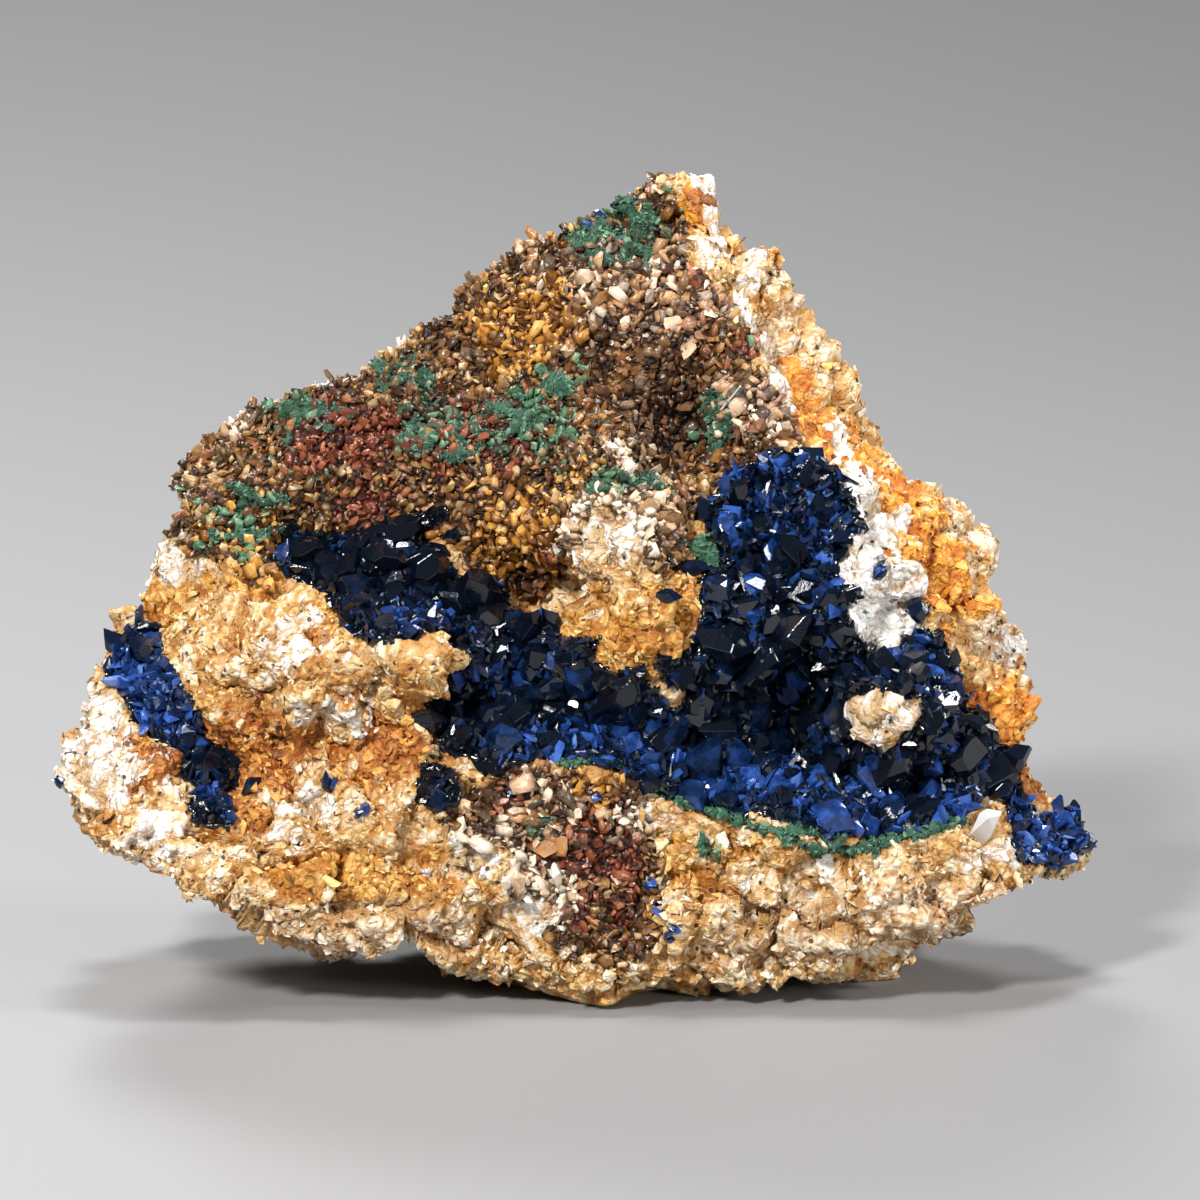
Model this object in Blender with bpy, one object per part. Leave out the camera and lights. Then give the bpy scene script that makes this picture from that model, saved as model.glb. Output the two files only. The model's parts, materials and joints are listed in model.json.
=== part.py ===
"""Azurite on matrix: a hand specimen that rests on its broken underside.

The stone is one lump of drusy, iron-stained quartz and carbonate. Azurite lines a groove across its
crystal face, malachite coats parts of it, and a few small crystals stand alone.

The crystal face is laid out in face coordinates, in millimetres: u runs to the right, v runs up the
face, and d runs back into the stone. The face leans back by LEAN from the vertical.
"""
import math
import random

import bmesh
import bpy
import numpy as np
from mathutils import Matrix, Vector, noise
from mathutils.bvhtree import BVHTree

MM = 0.001
LEAN = math.radians(10.0)
FACE_ORIGIN = (0.0, -4.5)  # where u = v = d = 0 stands on the floor plan, x and y

# The stone's outline on the face, clockwise from the peak: (u, v).
OUTLINE = [
    (11.5, 84.5), (14.5, 85.0), (15.5, 83.0), (17.0, 80.0), (19.5, 77.5), (22.5, 74.5), (25.5, 71.0),
    (26.0, 68.5), (29.0, 65.0), (30.5, 61.0), (34.0, 56.5), (37.0, 52.5), (41.0, 50.0), (45.5, 46.0),
    (45.5, 42.5), (47.5, 37.5), (49.5, 33.0), (48.5, 28.0), (47.5, 24.0), (50.5, 20.5), (53.0, 18.0),
    (55.0, 14.0), (53.5, 12.0), (50.0, 11.0), (45.0, 8.0), (41.0, 5.5), (36.0, 2.0), (34.5, 0.5),
    (30.5, -0.7), (20.0, -0.7), (17.0, -1.0), (9.5, -0.7), (5.5, -2.3), (2.5, -2.8), (-2.0, -2.0),
    (-9.0, 1.0), (-15.0, 2.0), (-19.0, 4.3), (-21.5, 2.6), (-24.0, 4.0), (-26.5, 2.7), (-32.0, 4.0),
    (-37.0, 7.0), (-42.5, 9.0), (-41.5, 10.5), (-46.0, 11.5), (-51.0, 15.5), (-54.0, 19.5),
    (-55.0, 21.0), (-53.0, 26.0), (-52.0, 29.5), (-51.0, 33.0), (-48.0, 36.0), (-46.5, 41.5),
    (-44.0, 47.5), (-41.5, 50.5), (-41.5, 53.5), (-38.0, 58.0), (-37.0, 60.0), (-33.0, 62.0),
    (-24.0, 64.0), (-23.0, 63.5), (-21.0, 66.5), (-18.0, 67.0), (-14.0, 70.5), (-9.0, 75.5),
    (-6.5, 77.5), (0.5, 80.5), (2.5, 82.5), (6.0, 84.0), (10.0, 84.5),
]
FACE_CENTRE = (2.5, 36.0)

# Depth of the two main faces: (u, v, depth there, rise along u, rise along v).
DRUSY_SLOPE = (-25.0, 45.0, -9.0, -0.22, 0.50)
LOWER_FACE = (-30.0, 30.0, -17.0, 0.02, 0.20)
UNDERCUT = (0.0, 4.0, -16.0, 0.05, -0.55)
UNDERCUT_HIGH = 14.0
# The arris between the crystal face and the broken right side: (v, u, depth), from the peak down.
ARRIS = [
    (84.5, 12.0, 3.0), (79.5, 15.8, -1.0), (73.0, 18.0, -5.0), (65.5, 20.5, -8.0), (57.0, 22.7, -11.0),
    (51.5, 29.0, -13.0), (44.5, 33.2, -14.5), (39.0, 34.5, -14.0), (35.0, 38.5, -12.0),
    (27.5, 43.2, -9.0), (24.0, 47.7, -7.0), (19.0, 51.0, -6.0), (8.0, 55.0, -5.0),
]
SIDE_SLOPE = 1.5
CORNER_SOFTNESS = 1.2

# Swellings stand out of the face (height over 0) and hollows go in: (u, v, radii, turn in degrees, height).
RELIEF = {
    "nose": (7.0, 44.0, (5.5, 12.0), 14.0, 5.0),
    "left_boulder": (-30.5, 34.0, (11.0, 8.5), -12.0, 6.0),
    "small_lobe": (-16.5, 34.5, (6.0, 4.5), 5.0, 6.0),
    "cream_knob": (32.5, 28.0, (3.4, 3.0), 0.0, 7.5),
    "left_end": (-48.0, 19.0, (7.0, 8.0), 0.0, 3.0),
    "right_foot_block": (29.0, 5.5, (9.0, 4.5), 12.0, 3.0),
    "toe": (1.5, 1.5, (9.0, 4.0), 0.0, 3.0),
    "heel_left": (-27.0, 7.0, (9.0, 3.5), -8.0, 2.5),
    "shoulder_bulge": (-38.0, 50.0, (7.0, 6.0), 30.0, 2.5),
    "upper_ledge": (-4.0, 66.0, (11.0, 3.5), 36.0, 2.0),
    "mid_ledge": (-18.0, 56.0, (10.0, 3.0), 12.0, 2.0),
    "upper_hollow": (11.5, 57.0, (8.5, 4.0), -42.0, -7.0),
    "crest_pocket": (7.0, 79.0, (4.5, 2.8), 8.0, -4.0),
    "hollow_over_vein": (-5.5, 41.5, (6.5, 4.0), -35.0, -6.0),
    "hollow_left": (-16.0, 47.5, (3.5, 3.0), 0.0, -3.0),
    "dark_pit": (-11.5, 29.0, (4.5, 3.5), -20.0, -7.0),
    "deep_cavity": (23.5, 29.0, (7.0, 5.5), 20.0, -9.0),
    "column_dip": (20.0, 44.0, (4.5, 9.0), -8.0, -3.0),
    "brown_pocket": (-36.0, 21.5, (5.0, 3.5), 0.0, -3.0),
    "ledge_hollow": (2.5, 14.0, (10.0, 5.5), 0.0, -2.5),
    "right_notch": (45.0, 35.5, (3.0, 2.5), 0.0, -3.0),
}
# Long furrows and ribs: (points on the face, half width, height).
FURROWS = {
    "vein_groove": (
        [(-30, 45.5), (-23, 43), (-16, 40.5), (-9, 37.5), (-5.5, 31), (3, 27), (13, 25.5), (23, 23.5),
         (32, 21.5), (42, 20), (51, 15)], 4.2, -5.0,
    ),
    "right_arm_groove": ([(34, 36), (39, 31), (44, 24)], 3.6, -3.5),
    "left_pocket_groove": ([(-45, 38.5), (-46.5, 33.5), (-43.5, 28.5), (-39.5, 25)], 3.6, -3.0),
    "brown_recess": ([(-39, 25), (-29, 25.5), (-16, 22.5)], 3.2, -2.5),
    "white_rib": ([(27.5, 53.5), (31, 49.5), (29, 44), (29, 38), (31.5, 33.5), (35.5, 31.5)], 2.4, 4.0),
    "right_face_rib": ([(36, 49), (41, 42), (44, 38)], 2.6, 2.0),
}
# The back's faces, each as (u, v, depth there, rise along u, rise along v). The shallowest one shows.
BACK_FACES = [
    (0.0, 30.0, 21.0, -0.03, -0.10),
    (10.0, 62.0, 15.5, 0.05, -0.34),
    (32.0, 30.0, 20.0, -0.42, -0.12),
    (-38.0, 30.0, 17.5, 0.52, -0.10),
    (-14.0, 60.0, 15.0, 0.16, -0.42),
    (-8.0, 6.0, 19.0, 0.04, 0.10),
]
BACK_SOFTNESS = 0.9
BACK_RELIEF = {
    "back_scar": (-10.0, 46.0, (20.0, 10.0), 30.0, 3.5),
    "back_hollow": (14.0, 18.0, (14.0, 8.0), 10.0, 2.5),
    "back_boss": (-24.0, 20.0, (12.0, 10.0), 0.0, -2.5),
}
THINNEST = 5.0
# How much narrower the stone is at its back, by bearing in degrees round the face: (bearing, share).
NARROWING = [
    (-180, 0.14), (-140, 0.10), (-90, 0.03), (-40, 0.08), (0, 0.15), (55, 0.12), (85, 0.05), (130, 0.12),
    (180, 0.14),
]

# The sphere that the stone is drawn over: polar angles where the front ends and the back starts.
SPHERE_DETAIL = 6
FRONT_ENDS = 0.56 * math.pi
BACK_STARTS = 0.74 * math.pi
RIM_TUCK = 0.992
STONE_KEEP = 0.195  # share of the sphere's triangles that the finished stone keeps

# Surface texture of the stone: (size, height) of the crystal face's bumps and the broken faces' facets.
DRUSY_BUMPS = [(9.0, 0.9), (4.5, 0.6)]
BROKEN_BUMPS = [(16.0, 1.8), (6.0, 0.6)]
NOISE_STREAMS = (0.0, 37.0, 71.0)
FACET_SIZE = 12.0
FACET_TILT = 0.18
BROKEN_BELOW = (13.0, 7.0)  # the face is crystal-covered over the first height and broken under the second

GAP = 0.45  # between the stone and what grows on it
PRISM_FRONT, PRISM_BACK = -45.0, 14.0
BELOW_BASE = 300.0  # side of the block that cuts the base flat
MERGE = 0.001

# Areas of growth on the face: outlines as (u, v).
VEIN = [
    (-31.5, 44.5), (-30.0, 46.5), (-24.0, 46.5), (-17.5, 47.5), (-15.2, 45.8), (-13.0, 42.5), (-8.0, 41.5),
    (-7.0, 38.5), (-3.5, 38.5), (-1.0, 35.0), (4.0, 32.5), (7.5, 31.5), (10.0, 28.5), (12.5, 28.5),
    (11.0, 33.5), (13.5, 36.5), (14.0, 42.5), (15.5, 45.0), (13.5, 49.5), (16.5, 53.0), (21.0, 55.5),
    (25.0, 55.5), (28.5, 51.0), (29.5, 48.0), (27.0, 45.0), (27.0, 40.5), (29.5, 35.0), (33.5, 32.5),
    (34.5, 36.0), (38.0, 36.5), (40.0, 31.0), (43.5, 25.5), (47.0, 23.5), (48.0, 19.5), (53.0, 17.5),
    (54.3, 14.3), (51.5, 12.8), (47.0, 13.5), (46.5, 17.0), (45.3, 20.0), (42.8, 20.4), (40.0, 17.6),
    (33.5, 16.0), (27.5, 16.5), (22.0, 17.5), (16.0, 18.8), (10.0, 19.8), (4.5, 23.0), (-1.5, 24.2), (-8.0, 23.5),
    (-13.5, 25.0), (-13.0, 29.0), (-10.5, 33.5), (-14.0, 37.0), (-19.5, 35.2), (-22.5, 36.5), (-26.0, 41.5),
]
KNOB_HOLE = [(28.8, 26.0), (29.0, 29.5), (32.0, 30.5), (35.8, 30.0), (35.5, 26.5), (32.5, 25.0)]
# The smaller growths: name: (outline, thickness, how many crystals stand in it).
PATCHES = {
    "azurite_left_pocket": (
        [(-46.6, 37.0), (-44.5, 37.5), (-43.5, 33.0), (-39.5, 28.5), (-39.2, 25.8), (-42.0, 25.0),
         (-45.0, 27.0), (-47.5, 31.0), (-48.8, 33.0)], 1.7, 10,
    ),
    "azurite_pod_upper": ([(-40.8, 22.0), (-39.8, 24.2), (-36.5, 24.2), (-35.6, 21.8), (-38.0, 20.1)], 2.6, 5),
    "azurite_pod_lower": ([(-39.8, 19.2), (-38.6, 19.9), (-36.3, 19.0), (-36.0, 17.4), (-38.2, 17.6)], 1.6, 4),
    "azurite_satellite": ([(-16.0, 20.5), (-15.8, 23.0), (-13.2, 22.4), (-12.2, 20.0), (-14.5, 18.9)], 1.8, 4),
    "malachite_upper_patch": (
        [(-17.5, 61.5), (-15.5, 57.5), (-11.0, 60.5), (-7.0, 60.5), (-2.5, 65.0), (-0.8, 62.0),
         (-5.0, 57.5), (-10.5, 55.5), (-16.0, 55.0), (-19.0, 58.0)], 1.1, 0,
    ),
    "malachite_left_patch": (
        [(-33.0, 60.8), (-27.5, 61.0), (-24.0, 60.0), (-25.5, 58.3), (-30.0, 57.8)], 1.0, 0,
    ),
    "malachite_edge_tuft": ([(-21.3, 65.5), (-17.8, 66.0), (-15.5, 64.0), (-20.3, 63.2)], 1.0, 0),
    "malachite_crest": (
        [(-0.5, 79.2), (3.5, 81.8), (8.0, 82.3), (9.0, 78.0), (6.5, 75.6), (1.0, 75.4)], 1.0, 0,
    ),
    "malachite_ring": ([(13.0, 62.0), (17.0, 63.2), (17.0, 60.2), (14.8, 56.0), (12.7, 57.5)], 1.0, 0),
    "malachite_rim": (
        [(21.5, 16.4), (27.5, 15.3), (33.5, 14.9), (33.0, 13.6), (28.0, 13.2), (24.0, 14.0)], 1.3, 0,
    ),
}
PATCH_WIDTHS = (1.4, 2.2)

# Single crystals: name: (u, v, width, breadth, length, axis (u, v, outwards), roll in degrees).
SINGLES = {
    "azurite_crystal_flat": (12.2, 43.2, 3.6, 1.9, 1.4, (0.1, 0.2, 1.0), 5.0),
    "azurite_crystal_block": (9.7, 40.5, 2.4, 1.5, 1.3, (0.0, 0.1, 1.0), -5.0),
    "azurite_crystal_high": (-12.8, 47.0, 1.7, 1.5, 1.4, (0.1, 0.4, 1.0), 20.0),
    "azurite_crystal_mid": (-33.7, 20.8, 2.0, 1.5, 1.3, (0.2, 0.3, 1.0), 35.0),
    "azurite_crystal_rib": (36.0, 39.0, 1.8, 2.9, 1.7, (-0.3, 0.1, 1.0), 12.0),
    "quartz_crystal": (42.4, 15.6, 1.9, 1.5, 3.8, (0.35, 0.75, 0.65), 20.0),
}
SINK = 0.2  # share of a single crystal's length that lies under the stone's face before it is cut flush

# The vein's large crystals: (u, v, width, breadth, length, axis (u, v, outwards), roll).
VEIN_CRYSTALS = [
    (-21.2, 46.2, 3.2, 2.6, 8.1, (0.86, 0.34, 0.35), 10), (-28.0, 45.0, 3.7, 2.8, 5.0, (-0.2, 0.3, 1.0), 20),
    (-24.0, 43.3, 4.1, 3.0, 5.2, (0.2, 0.1, 1.0), 70), (-19.8, 43.7, 4.8, 3.2, 5.8, (0.1, 0.4, 1.0), -20),
    (-15.7, 42.7, 5.0, 3.7, 6.0, (0.3, 0.3, 1.0), 30), (-22.3, 39.5, 3.7, 2.8, 5.0, (-0.1, -0.1, 1.0), 45),
    (-10.2, 39.0, 5.0, 3.9, 8.1, (-0.1, 0.75, 0.8), 5), (-5.5, 35.5, 3.5, 2.6, 7.5, (0.2, 0.7, 0.8), 60),
    (-1.5, 33.2, 3.2, 2.4, 6.9, (0.6, 0.5, 0.7), -30), (-2.7, 31.2, 3.9, 2.8, 6.2, (0.7, 0.3, 0.8), 15),
    (-6.5, 27.8, 4.8, 3.9, 5.5, (0.0, 0.2, 1.0), 40), (-3.0, 25.6, 3.2, 2.6, 4.8, (0.2, -0.2, 1.0), 0),
    (5.0, 28.8, 5.2, 4.1, 7.5, (0.0, 0.6, 0.9), 25), (-14.8, 27.0, 3.2, 2.8, 4.5, (-0.3, 0.2, 1.0), 15),
    (9.0, 25.4, 3.9, 3.2, 4.8, (0.0, 0.1, 1.0), 50), (15.0, 25.8, 3.9, 3.2, 5.2, (0.1, 0.2, 1.0), 0),
    (13.5, 28.7, 3.7, 3.0, 5.8, (-0.2, 0.3, 1.0), 30), (12.0, 32.5, 2.8, 1.9, 6.2, (-0.8, 0.2, 0.7), 80),
    (15.8, 35.3, 5.4, 4.1, 6.5, (-0.1, 0.2, 1.0), -15), (19.6, 34.8, 5.0, 2.6, 6.8, (0.1, -0.3, 1.0), 35),
    (22.2, 36.5, 4.1, 3.5, 5.8, (0.3, 0.1, 1.0), 55), (23.6, 40.2, 3.7, 3.2, 5.5, (0.2, 0.4, 1.0), 10),
    (18.0, 49.8, 2.8, 2.2, 6.2, (-0.3, 0.6, 0.8), 60), (22.7, 45.0, 3.7, 2.8, 5.2, (0.1, 0.2, 1.0), -40),
    (26.6, 40.0, 3.5, 2.8, 5.0, (0.4, 0.2, 1.0), 20), (22.5, 28.0, 3.2, 1.9, 8.1, (-0.3, 0.6, 0.8), 0),
    (26.0, 27.5, 3.0, 1.8, 8.1, (0.3, 0.7, 0.8), 30), (26.8, 23.2, 4.3, 3.2, 5.8, (0.1, 0.2, 1.0), 65),
    (34.8, 31.4, 3.5, 2.4, 5.5, (0.5, 0.4, 0.9), 45), (38.2, 29.0, 3.7, 2.8, 5.2, (0.2, 0.3, 1.0), 25),
    (43.0, 26.3, 3.5, 2.8, 5.2, (0.4, 0.3, 1.0), -15), (40.2, 23.3, 5.0, 3.9, 6.5, (0.1, 0.5, 1.0), 10),
    (44.6, 22.2, 5.6, 4.3, 7.0, (0.4, 0.3, 1.0), 30), (49.0, 16.0, 3.0, 2.4, 4.0, (0.1, 0.3, 1.0), 60),
]
VEIN_SMALL_CRYSTALS = 18
SMALL_WIDTHS = (1.8, 2.8)
SMALL_BREADTH, SMALL_LENGTH = 0.75, 1.5  # shares of a small crystal's width
CRYSTAL_TOP, CRYSTAL_EDGE = 0.72, 0.35  # a crystal's top, as shares of its width and its breadth
VEIN_THICKNESS = 1.8
ROOT_DEPTH = 0.6  # how far a grown-on crystal's base lies under the stone's face before it is cut flush

FINISHES = {
    # name: (colour, roughness)
    "stone": ((0.62, 0.46, 0.27), 0.75),
    "azurite": ((0.012, 0.035, 0.22), 0.12),
    "malachite": ((0.06, 0.33, 0.20), 0.70),
    "quartz": ((0.86, 0.84, 0.78), 0.20),
}


def to_world(u, v, d):
    """Face coordinates in millimetres to metres, with the face leaning back."""
    return (
        (u + FACE_ORIGIN[0]) * MM,
        (v * math.sin(LEAN) + d * math.cos(LEAN) + FACE_ORIGIN[1]) * MM,
        (v * math.cos(LEAN) - d * math.sin(LEAN)) * MM,
    )


def turned(u, v, place, radii, degrees):
    """How far out a point lies in a turned oval, as the square of the share of its radii."""
    across, up = u - place[0], v - place[1]
    c, s = math.cos(math.radians(degrees)), math.sin(math.radians(degrees))
    return ((across * c + up * s) / radii[0]) ** 2 + ((up * c - across * s) / radii[1]) ** 2


def relief_height(u, v, features):
    """How far the swellings and hollows bring a point out of the face."""
    return sum(
        height * np.exp(-turned(u, v, (u0, v0), radii, turn))
        for u0, v0, radii, turn, height in features.values()
    )


def distance_to_path(u, v, path):
    """Distance from points to a line of straight runs."""
    nearest = np.full(np.shape(u), np.inf)
    for (u0, v0), (u1, v1) in zip(path, path[1:]):
        run_u, run_v = u1 - u0, v1 - v0
        share = ((u - u0) * run_u + (v - v0) * run_v) / (run_u**2 + run_v**2)
        share = np.clip(share, 0.0, 1.0)
        nearest = np.minimum(nearest, np.hypot(u - u0 - share * run_u, v - v0 - share * run_v))
    return nearest


def smooth_max(*depths):
    return CORNER_SOFTNESS * np.log(sum(np.exp(d / CORNER_SOFTNESS) for d in depths))


def tilted(u, v, face):
    u0, v0, depth, along_u, along_v = face
    return depth + along_u * (u - u0) + along_v * (v - v0)


def front_depth(u, v):
    """Depth of the stone's front at a point of the face."""
    heights, arris_u, arris_depth = (np.array(column) for column in zip(*reversed(ARRIS)))
    right_side = np.interp(v, heights, arris_depth) + SIDE_SLOPE * (u - np.interp(v, heights, arris_u))
    undercut = np.where(v < UNDERCUT_HIGH, tilted(u, v, UNDERCUT), -99.0)
    depth = smooth_max(tilted(u, v, DRUSY_SLOPE), tilted(u, v, LOWER_FACE), right_side, undercut)
    depth = depth - relief_height(u, v, RELIEF)
    for path, half_width, height in FURROWS.values():
        depth = depth - height * np.exp(-((distance_to_path(u, v, path) / half_width) ** 2))
    return depth


def back_depth(u, v):
    planes = sum(np.exp(-tilted(u, v, face) / BACK_SOFTNESS) for face in BACK_FACES)
    return -BACK_SOFTNESS * np.log(planes) - relief_height(u, v, BACK_RELIEF)


def outline_reach(angles):
    """Distance from the face's centre to the outline, along each direction."""
    corners = np.array(OUTLINE) - FACE_CENTRE
    bearings = np.arctan2(corners[:, 1], corners[:, 0])
    order = np.argsort(bearings)
    corners, bearings = corners[order], bearings[order]
    after = np.searchsorted(bearings, angles) % len(corners)
    a, b = corners[after - 1], corners[after]
    ray = np.stack([np.cos(angles), np.sin(angles)], axis=1)
    side = b - a
    return (a[:, 0] * side[:, 1] - a[:, 1] * side[:, 0]) / (ray[:, 0] * side[:, 1] - ray[:, 1] * side[:, 0])


def vector_noise(place):
    """Smooth noise from -1 to 1 along each of the three directions."""
    return Vector([noise.noise(place + Vector((away, 0, 0))) for away in NOISE_STREAMS])


def bumps(places, layers):
    """Rounded irregularities as offsets along u, v and d."""
    return sum(height * np.array([vector_noise(p / size) for p in places]) for size, height in layers)


def facets(places):
    """Flat breaks that meet in steps: each place is moved by the tilt of the cell that it lies in."""
    moved = []
    for place in places:
        middle = noise.voronoi(place / FACET_SIZE)[1][0]
        tilt = (noise.cell_vector(middle * FACET_SIZE) - Vector((0.5, 0.5, 0.5))) * 2 * FACET_TILT
        moved.append(tilt.dot(place - middle * FACET_SIZE))
    return np.array(moved)


def stone_places(directions):
    """Where each direction from the middle of a sphere meets the stone, in face coordinates."""
    polar = np.arccos(np.clip(-directions[:, 1], -1, 1))
    angles = np.arctan2(directions[:, 2], directions[:, 0])
    outwards = np.stack([np.cos(angles), np.sin(angles)])
    front = np.sin(np.minimum(polar, FRONT_ENDS) / 2) / math.sin(FRONT_ENDS / 2)
    back = np.sin((math.pi - np.maximum(polar, BACK_STARTS)) / 2) / math.sin((math.pi - BACK_STARTS) / 2)
    wall = np.clip((polar - FRONT_ENDS) / (BACK_STARTS - FRONT_ENDS), 0, 1)
    shares = np.interp(np.degrees(angles), *zip(*NARROWING))
    swell = RIM_TUCK + (1 - RIM_TUCK) * np.sin(math.pi * np.minimum(wall, 0.5))
    reach = outline_reach(angles) * outwards
    middle = np.array([FACE_CENTRE]).T
    front_u, front_v = reach * front * RIM_TUCK + middle
    u, v = reach * np.minimum(front, back) * swell * (1 - shares * wall**1.5) + middle
    near = front_depth(front_u, front_v)
    far = np.maximum(back_depth(u, v), near + THINNEST)
    places = [Vector(p) for p in np.stack([u, v, near + (far - near) * wall], axis=1)]
    drusy, broken, breaks = bumps(places, DRUSY_BUMPS), bumps(places, BROKEN_BUMPS), facets(places)
    high, low = BROKEN_BELOW
    past_rim = np.clip(wall * 3, 0, 1)
    roughness = np.maximum(np.clip((high - v) / (high - low), 0, 1), past_rim)[:, None]
    offset = drusy * (1 - roughness) + broken * roughness
    offset[:, 2] += breaks * roughness[:, 0]
    offset[:, :2] += (outwards * breaks * past_rim).T
    offset[:, :2] *= past_rim[:, None]
    return np.array(places) + offset


def stone():
    """The lump of matrix: a sphere drawn out to its outline and faces, with a flat place under it to rest on."""
    bpy.ops.mesh.primitive_ico_sphere_add(subdivisions=SPHERE_DETAIL, radius=1)
    made = bpy.context.object
    made.name = made.data.name = "matrix_stone"
    corners = np.array([v.co for v in made.data.vertices])
    corners /= np.linalg.norm(corners, axis=1)[:, None]
    places = np.stack(to_world(*stone_places(corners).T), axis=1)
    made.data.vertices.foreach_set("co", places.astype(np.float32).ravel())
    made.data.update()
    thin = made.modifiers.new("keep_fewer_triangles", "DECIMATE")
    thin.ratio = STONE_KEEP
    bpy.ops.mesh.primitive_cube_add(size=BELOW_BASE * MM, location=(0, 0, -BELOW_BASE / 2 * MM))
    bpy.context.object.name = "below_the_base"
    boolean(made, "DIFFERENCE", as_cutter(bpy.context.object))
    return made


def finished(made, finish):
    """Gives a piece its material and flat shading, as broken stone and crystal faces have."""
    colour, rough = FINISHES[finish]
    material = bpy.data.materials.get(finish) or bpy.data.materials.new(finish)
    material.use_nodes = True
    shader = material.node_tree.nodes["Principled BSDF"]
    shader.inputs["Base Color"].default_value = (*colour, 1)
    shader.inputs["Roughness"].default_value = rough
    made.data.materials.clear()
    made.data.materials.append(material)
    return made


def into(collection, made):
    for other in list(made.users_collection):
        other.objects.unlink(made)
    collection.objects.link(made)
    return made


def as_cutter(made):
    made.hide_render = True
    made.display_type = "WIRE"
    return into(bpy.data.collections["cutters"], made)


def plain_copy(made, name):
    """A copy of an object as it is evaluated, with no modifiers."""
    graph = bpy.context.evaluated_depsgraph_get()
    mesh = bpy.data.meshes.new_from_object(made.evaluated_get(graph))
    mesh.name = name
    copy = bpy.data.objects.new(name, mesh)
    bpy.context.scene.collection.objects.link(copy)
    return copy


def lifted_stone(body, lift):
    """The stone moved out along the face's depth, so that its front is that much proud of the real one."""
    copy = plain_copy(body, f"stone_lifted_{lift:.2f}")
    copy.data.transform(Matrix.Translation(Vector(to_world(0, 0, -lift)) - Vector(to_world(0, 0, 0))))
    return as_cutter(copy)


def prism(name, outline):
    """An outline on the face, drawn out along the depth."""
    shape = bmesh.new()
    floor = [shape.verts.new(to_world(u, v, PRISM_BACK)) for u, v in outline]
    base = shape.faces.new(floor)
    drawn = bmesh.ops.extrude_face_region(shape, geom=[base])["geom"]
    travel = Vector(to_world(0, 0, PRISM_FRONT)) - Vector(to_world(0, 0, PRISM_BACK))
    bmesh.ops.translate(shape, vec=travel, verts=[g for g in drawn if isinstance(g, bmesh.types.BMVert)])
    bmesh.ops.recalc_face_normals(shape, faces=shape.faces)
    return from_bmesh(name, shape)


def from_bmesh(name, shape):
    mesh = bpy.data.meshes.new(name)
    shape.to_mesh(mesh)
    shape.free()
    made = bpy.data.objects.new(name, mesh)
    bpy.context.scene.collection.objects.link(made)
    return made


def boolean(made, operation, other):
    """Joins or cuts with the MANIFOLD solver, because EXACT loses pieces of these dense, nearly parallel shells."""
    step = made.modifiers.new(f"{operation.lower()}_{other.name}"[:60], "BOOLEAN")
    step.operation = operation
    step.solver = "MANIFOLD"
    if isinstance(other, bpy.types.Collection):
        step.operand_type = "COLLECTION"
        step.collection = other
    else:
        step.object = other


def crystal(name, size, axis, roll, base):
    """A short six-sided crystal that narrows to a chisel edge, standing on base along axis."""
    width, breadth, length = size
    shape = bmesh.new()
    bmesh.ops.create_cone(
        shape, cap_ends=True, segments=6, radius1=0.5, radius2=CRYSTAL_TOP / 2, depth=1.0,
        matrix=Matrix.Translation((0, 0, 0.5)),
    )
    for vert in shape.verts:
        thin = CRYSTAL_EDGE if vert.co.z > 0.5 else 1.0
        vert.co = Vector((vert.co.x * width, vert.co.y * breadth * thin, vert.co.z * length)) * MM
    made = from_bmesh(name, shape)
    along = Vector(to_world(axis[0], axis[1], -axis[2])) - Vector(to_world(0, 0, 0))
    turn = along.to_track_quat("Z", "Y").to_matrix().to_4x4() @ Matrix.Rotation(math.radians(roll), 4, "Z")
    made.data.transform(Matrix.Translation(base) @ turn)
    return made


def face_finder(body):
    """A function that finds where the stone's front is at a point of the face."""
    graph = bpy.context.evaluated_depsgraph_get()
    tree = BVHTree.FromObject(body.evaluated_get(graph), graph)
    inward = (Vector(to_world(0, 0, 1)) - Vector(to_world(0, 0, 0))).normalized()

    def at(u, v):
        return tree.ray_cast(Vector(to_world(u, v, PRISM_FRONT)), inward)[0]

    return at, inward


def solid_of(made, name):
    """The object with its Booleans made real, its doubles merged and only its largest piece kept."""
    solid = plain_copy(made, name)
    shape = bmesh.new()
    shape.from_mesh(solid.data)
    bmesh.ops.remove_doubles(shape, verts=shape.verts, dist=MERGE * MM)
    bmesh.ops.triangulate(shape, faces=shape.faces)
    islands = []
    unseen = set(shape.faces)
    while unseen:
        island, edge = set(), [unseen.pop()]
        while edge:
            face = edge.pop()
            island.add(face)
            found = {other for side in face.edges for other in side.link_faces} & unseen
            unseen -= found
            edge.extend(found)
        islands.append(island)
    islands.sort(key=len)
    for island in islands[:-1]:
        bmesh.ops.delete(shape, geom=list(island), context="FACES")
    shape.to_mesh(solid.data)
    shape.free()
    as_cutter(made)
    return solid


def inside(u, v, outline):
    """Whether a point of the face lies in an outline."""
    crossings = 0
    for (u0, v0), (u1, v1) in zip(outline, outline[1:] + outline[:1]):
        if (v0 > v) != (v1 > v) and u < u0 + (v - v0) * (u1 - u0) / (v1 - v0):
            crossings += 1
    return crossings % 2 == 1


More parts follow.
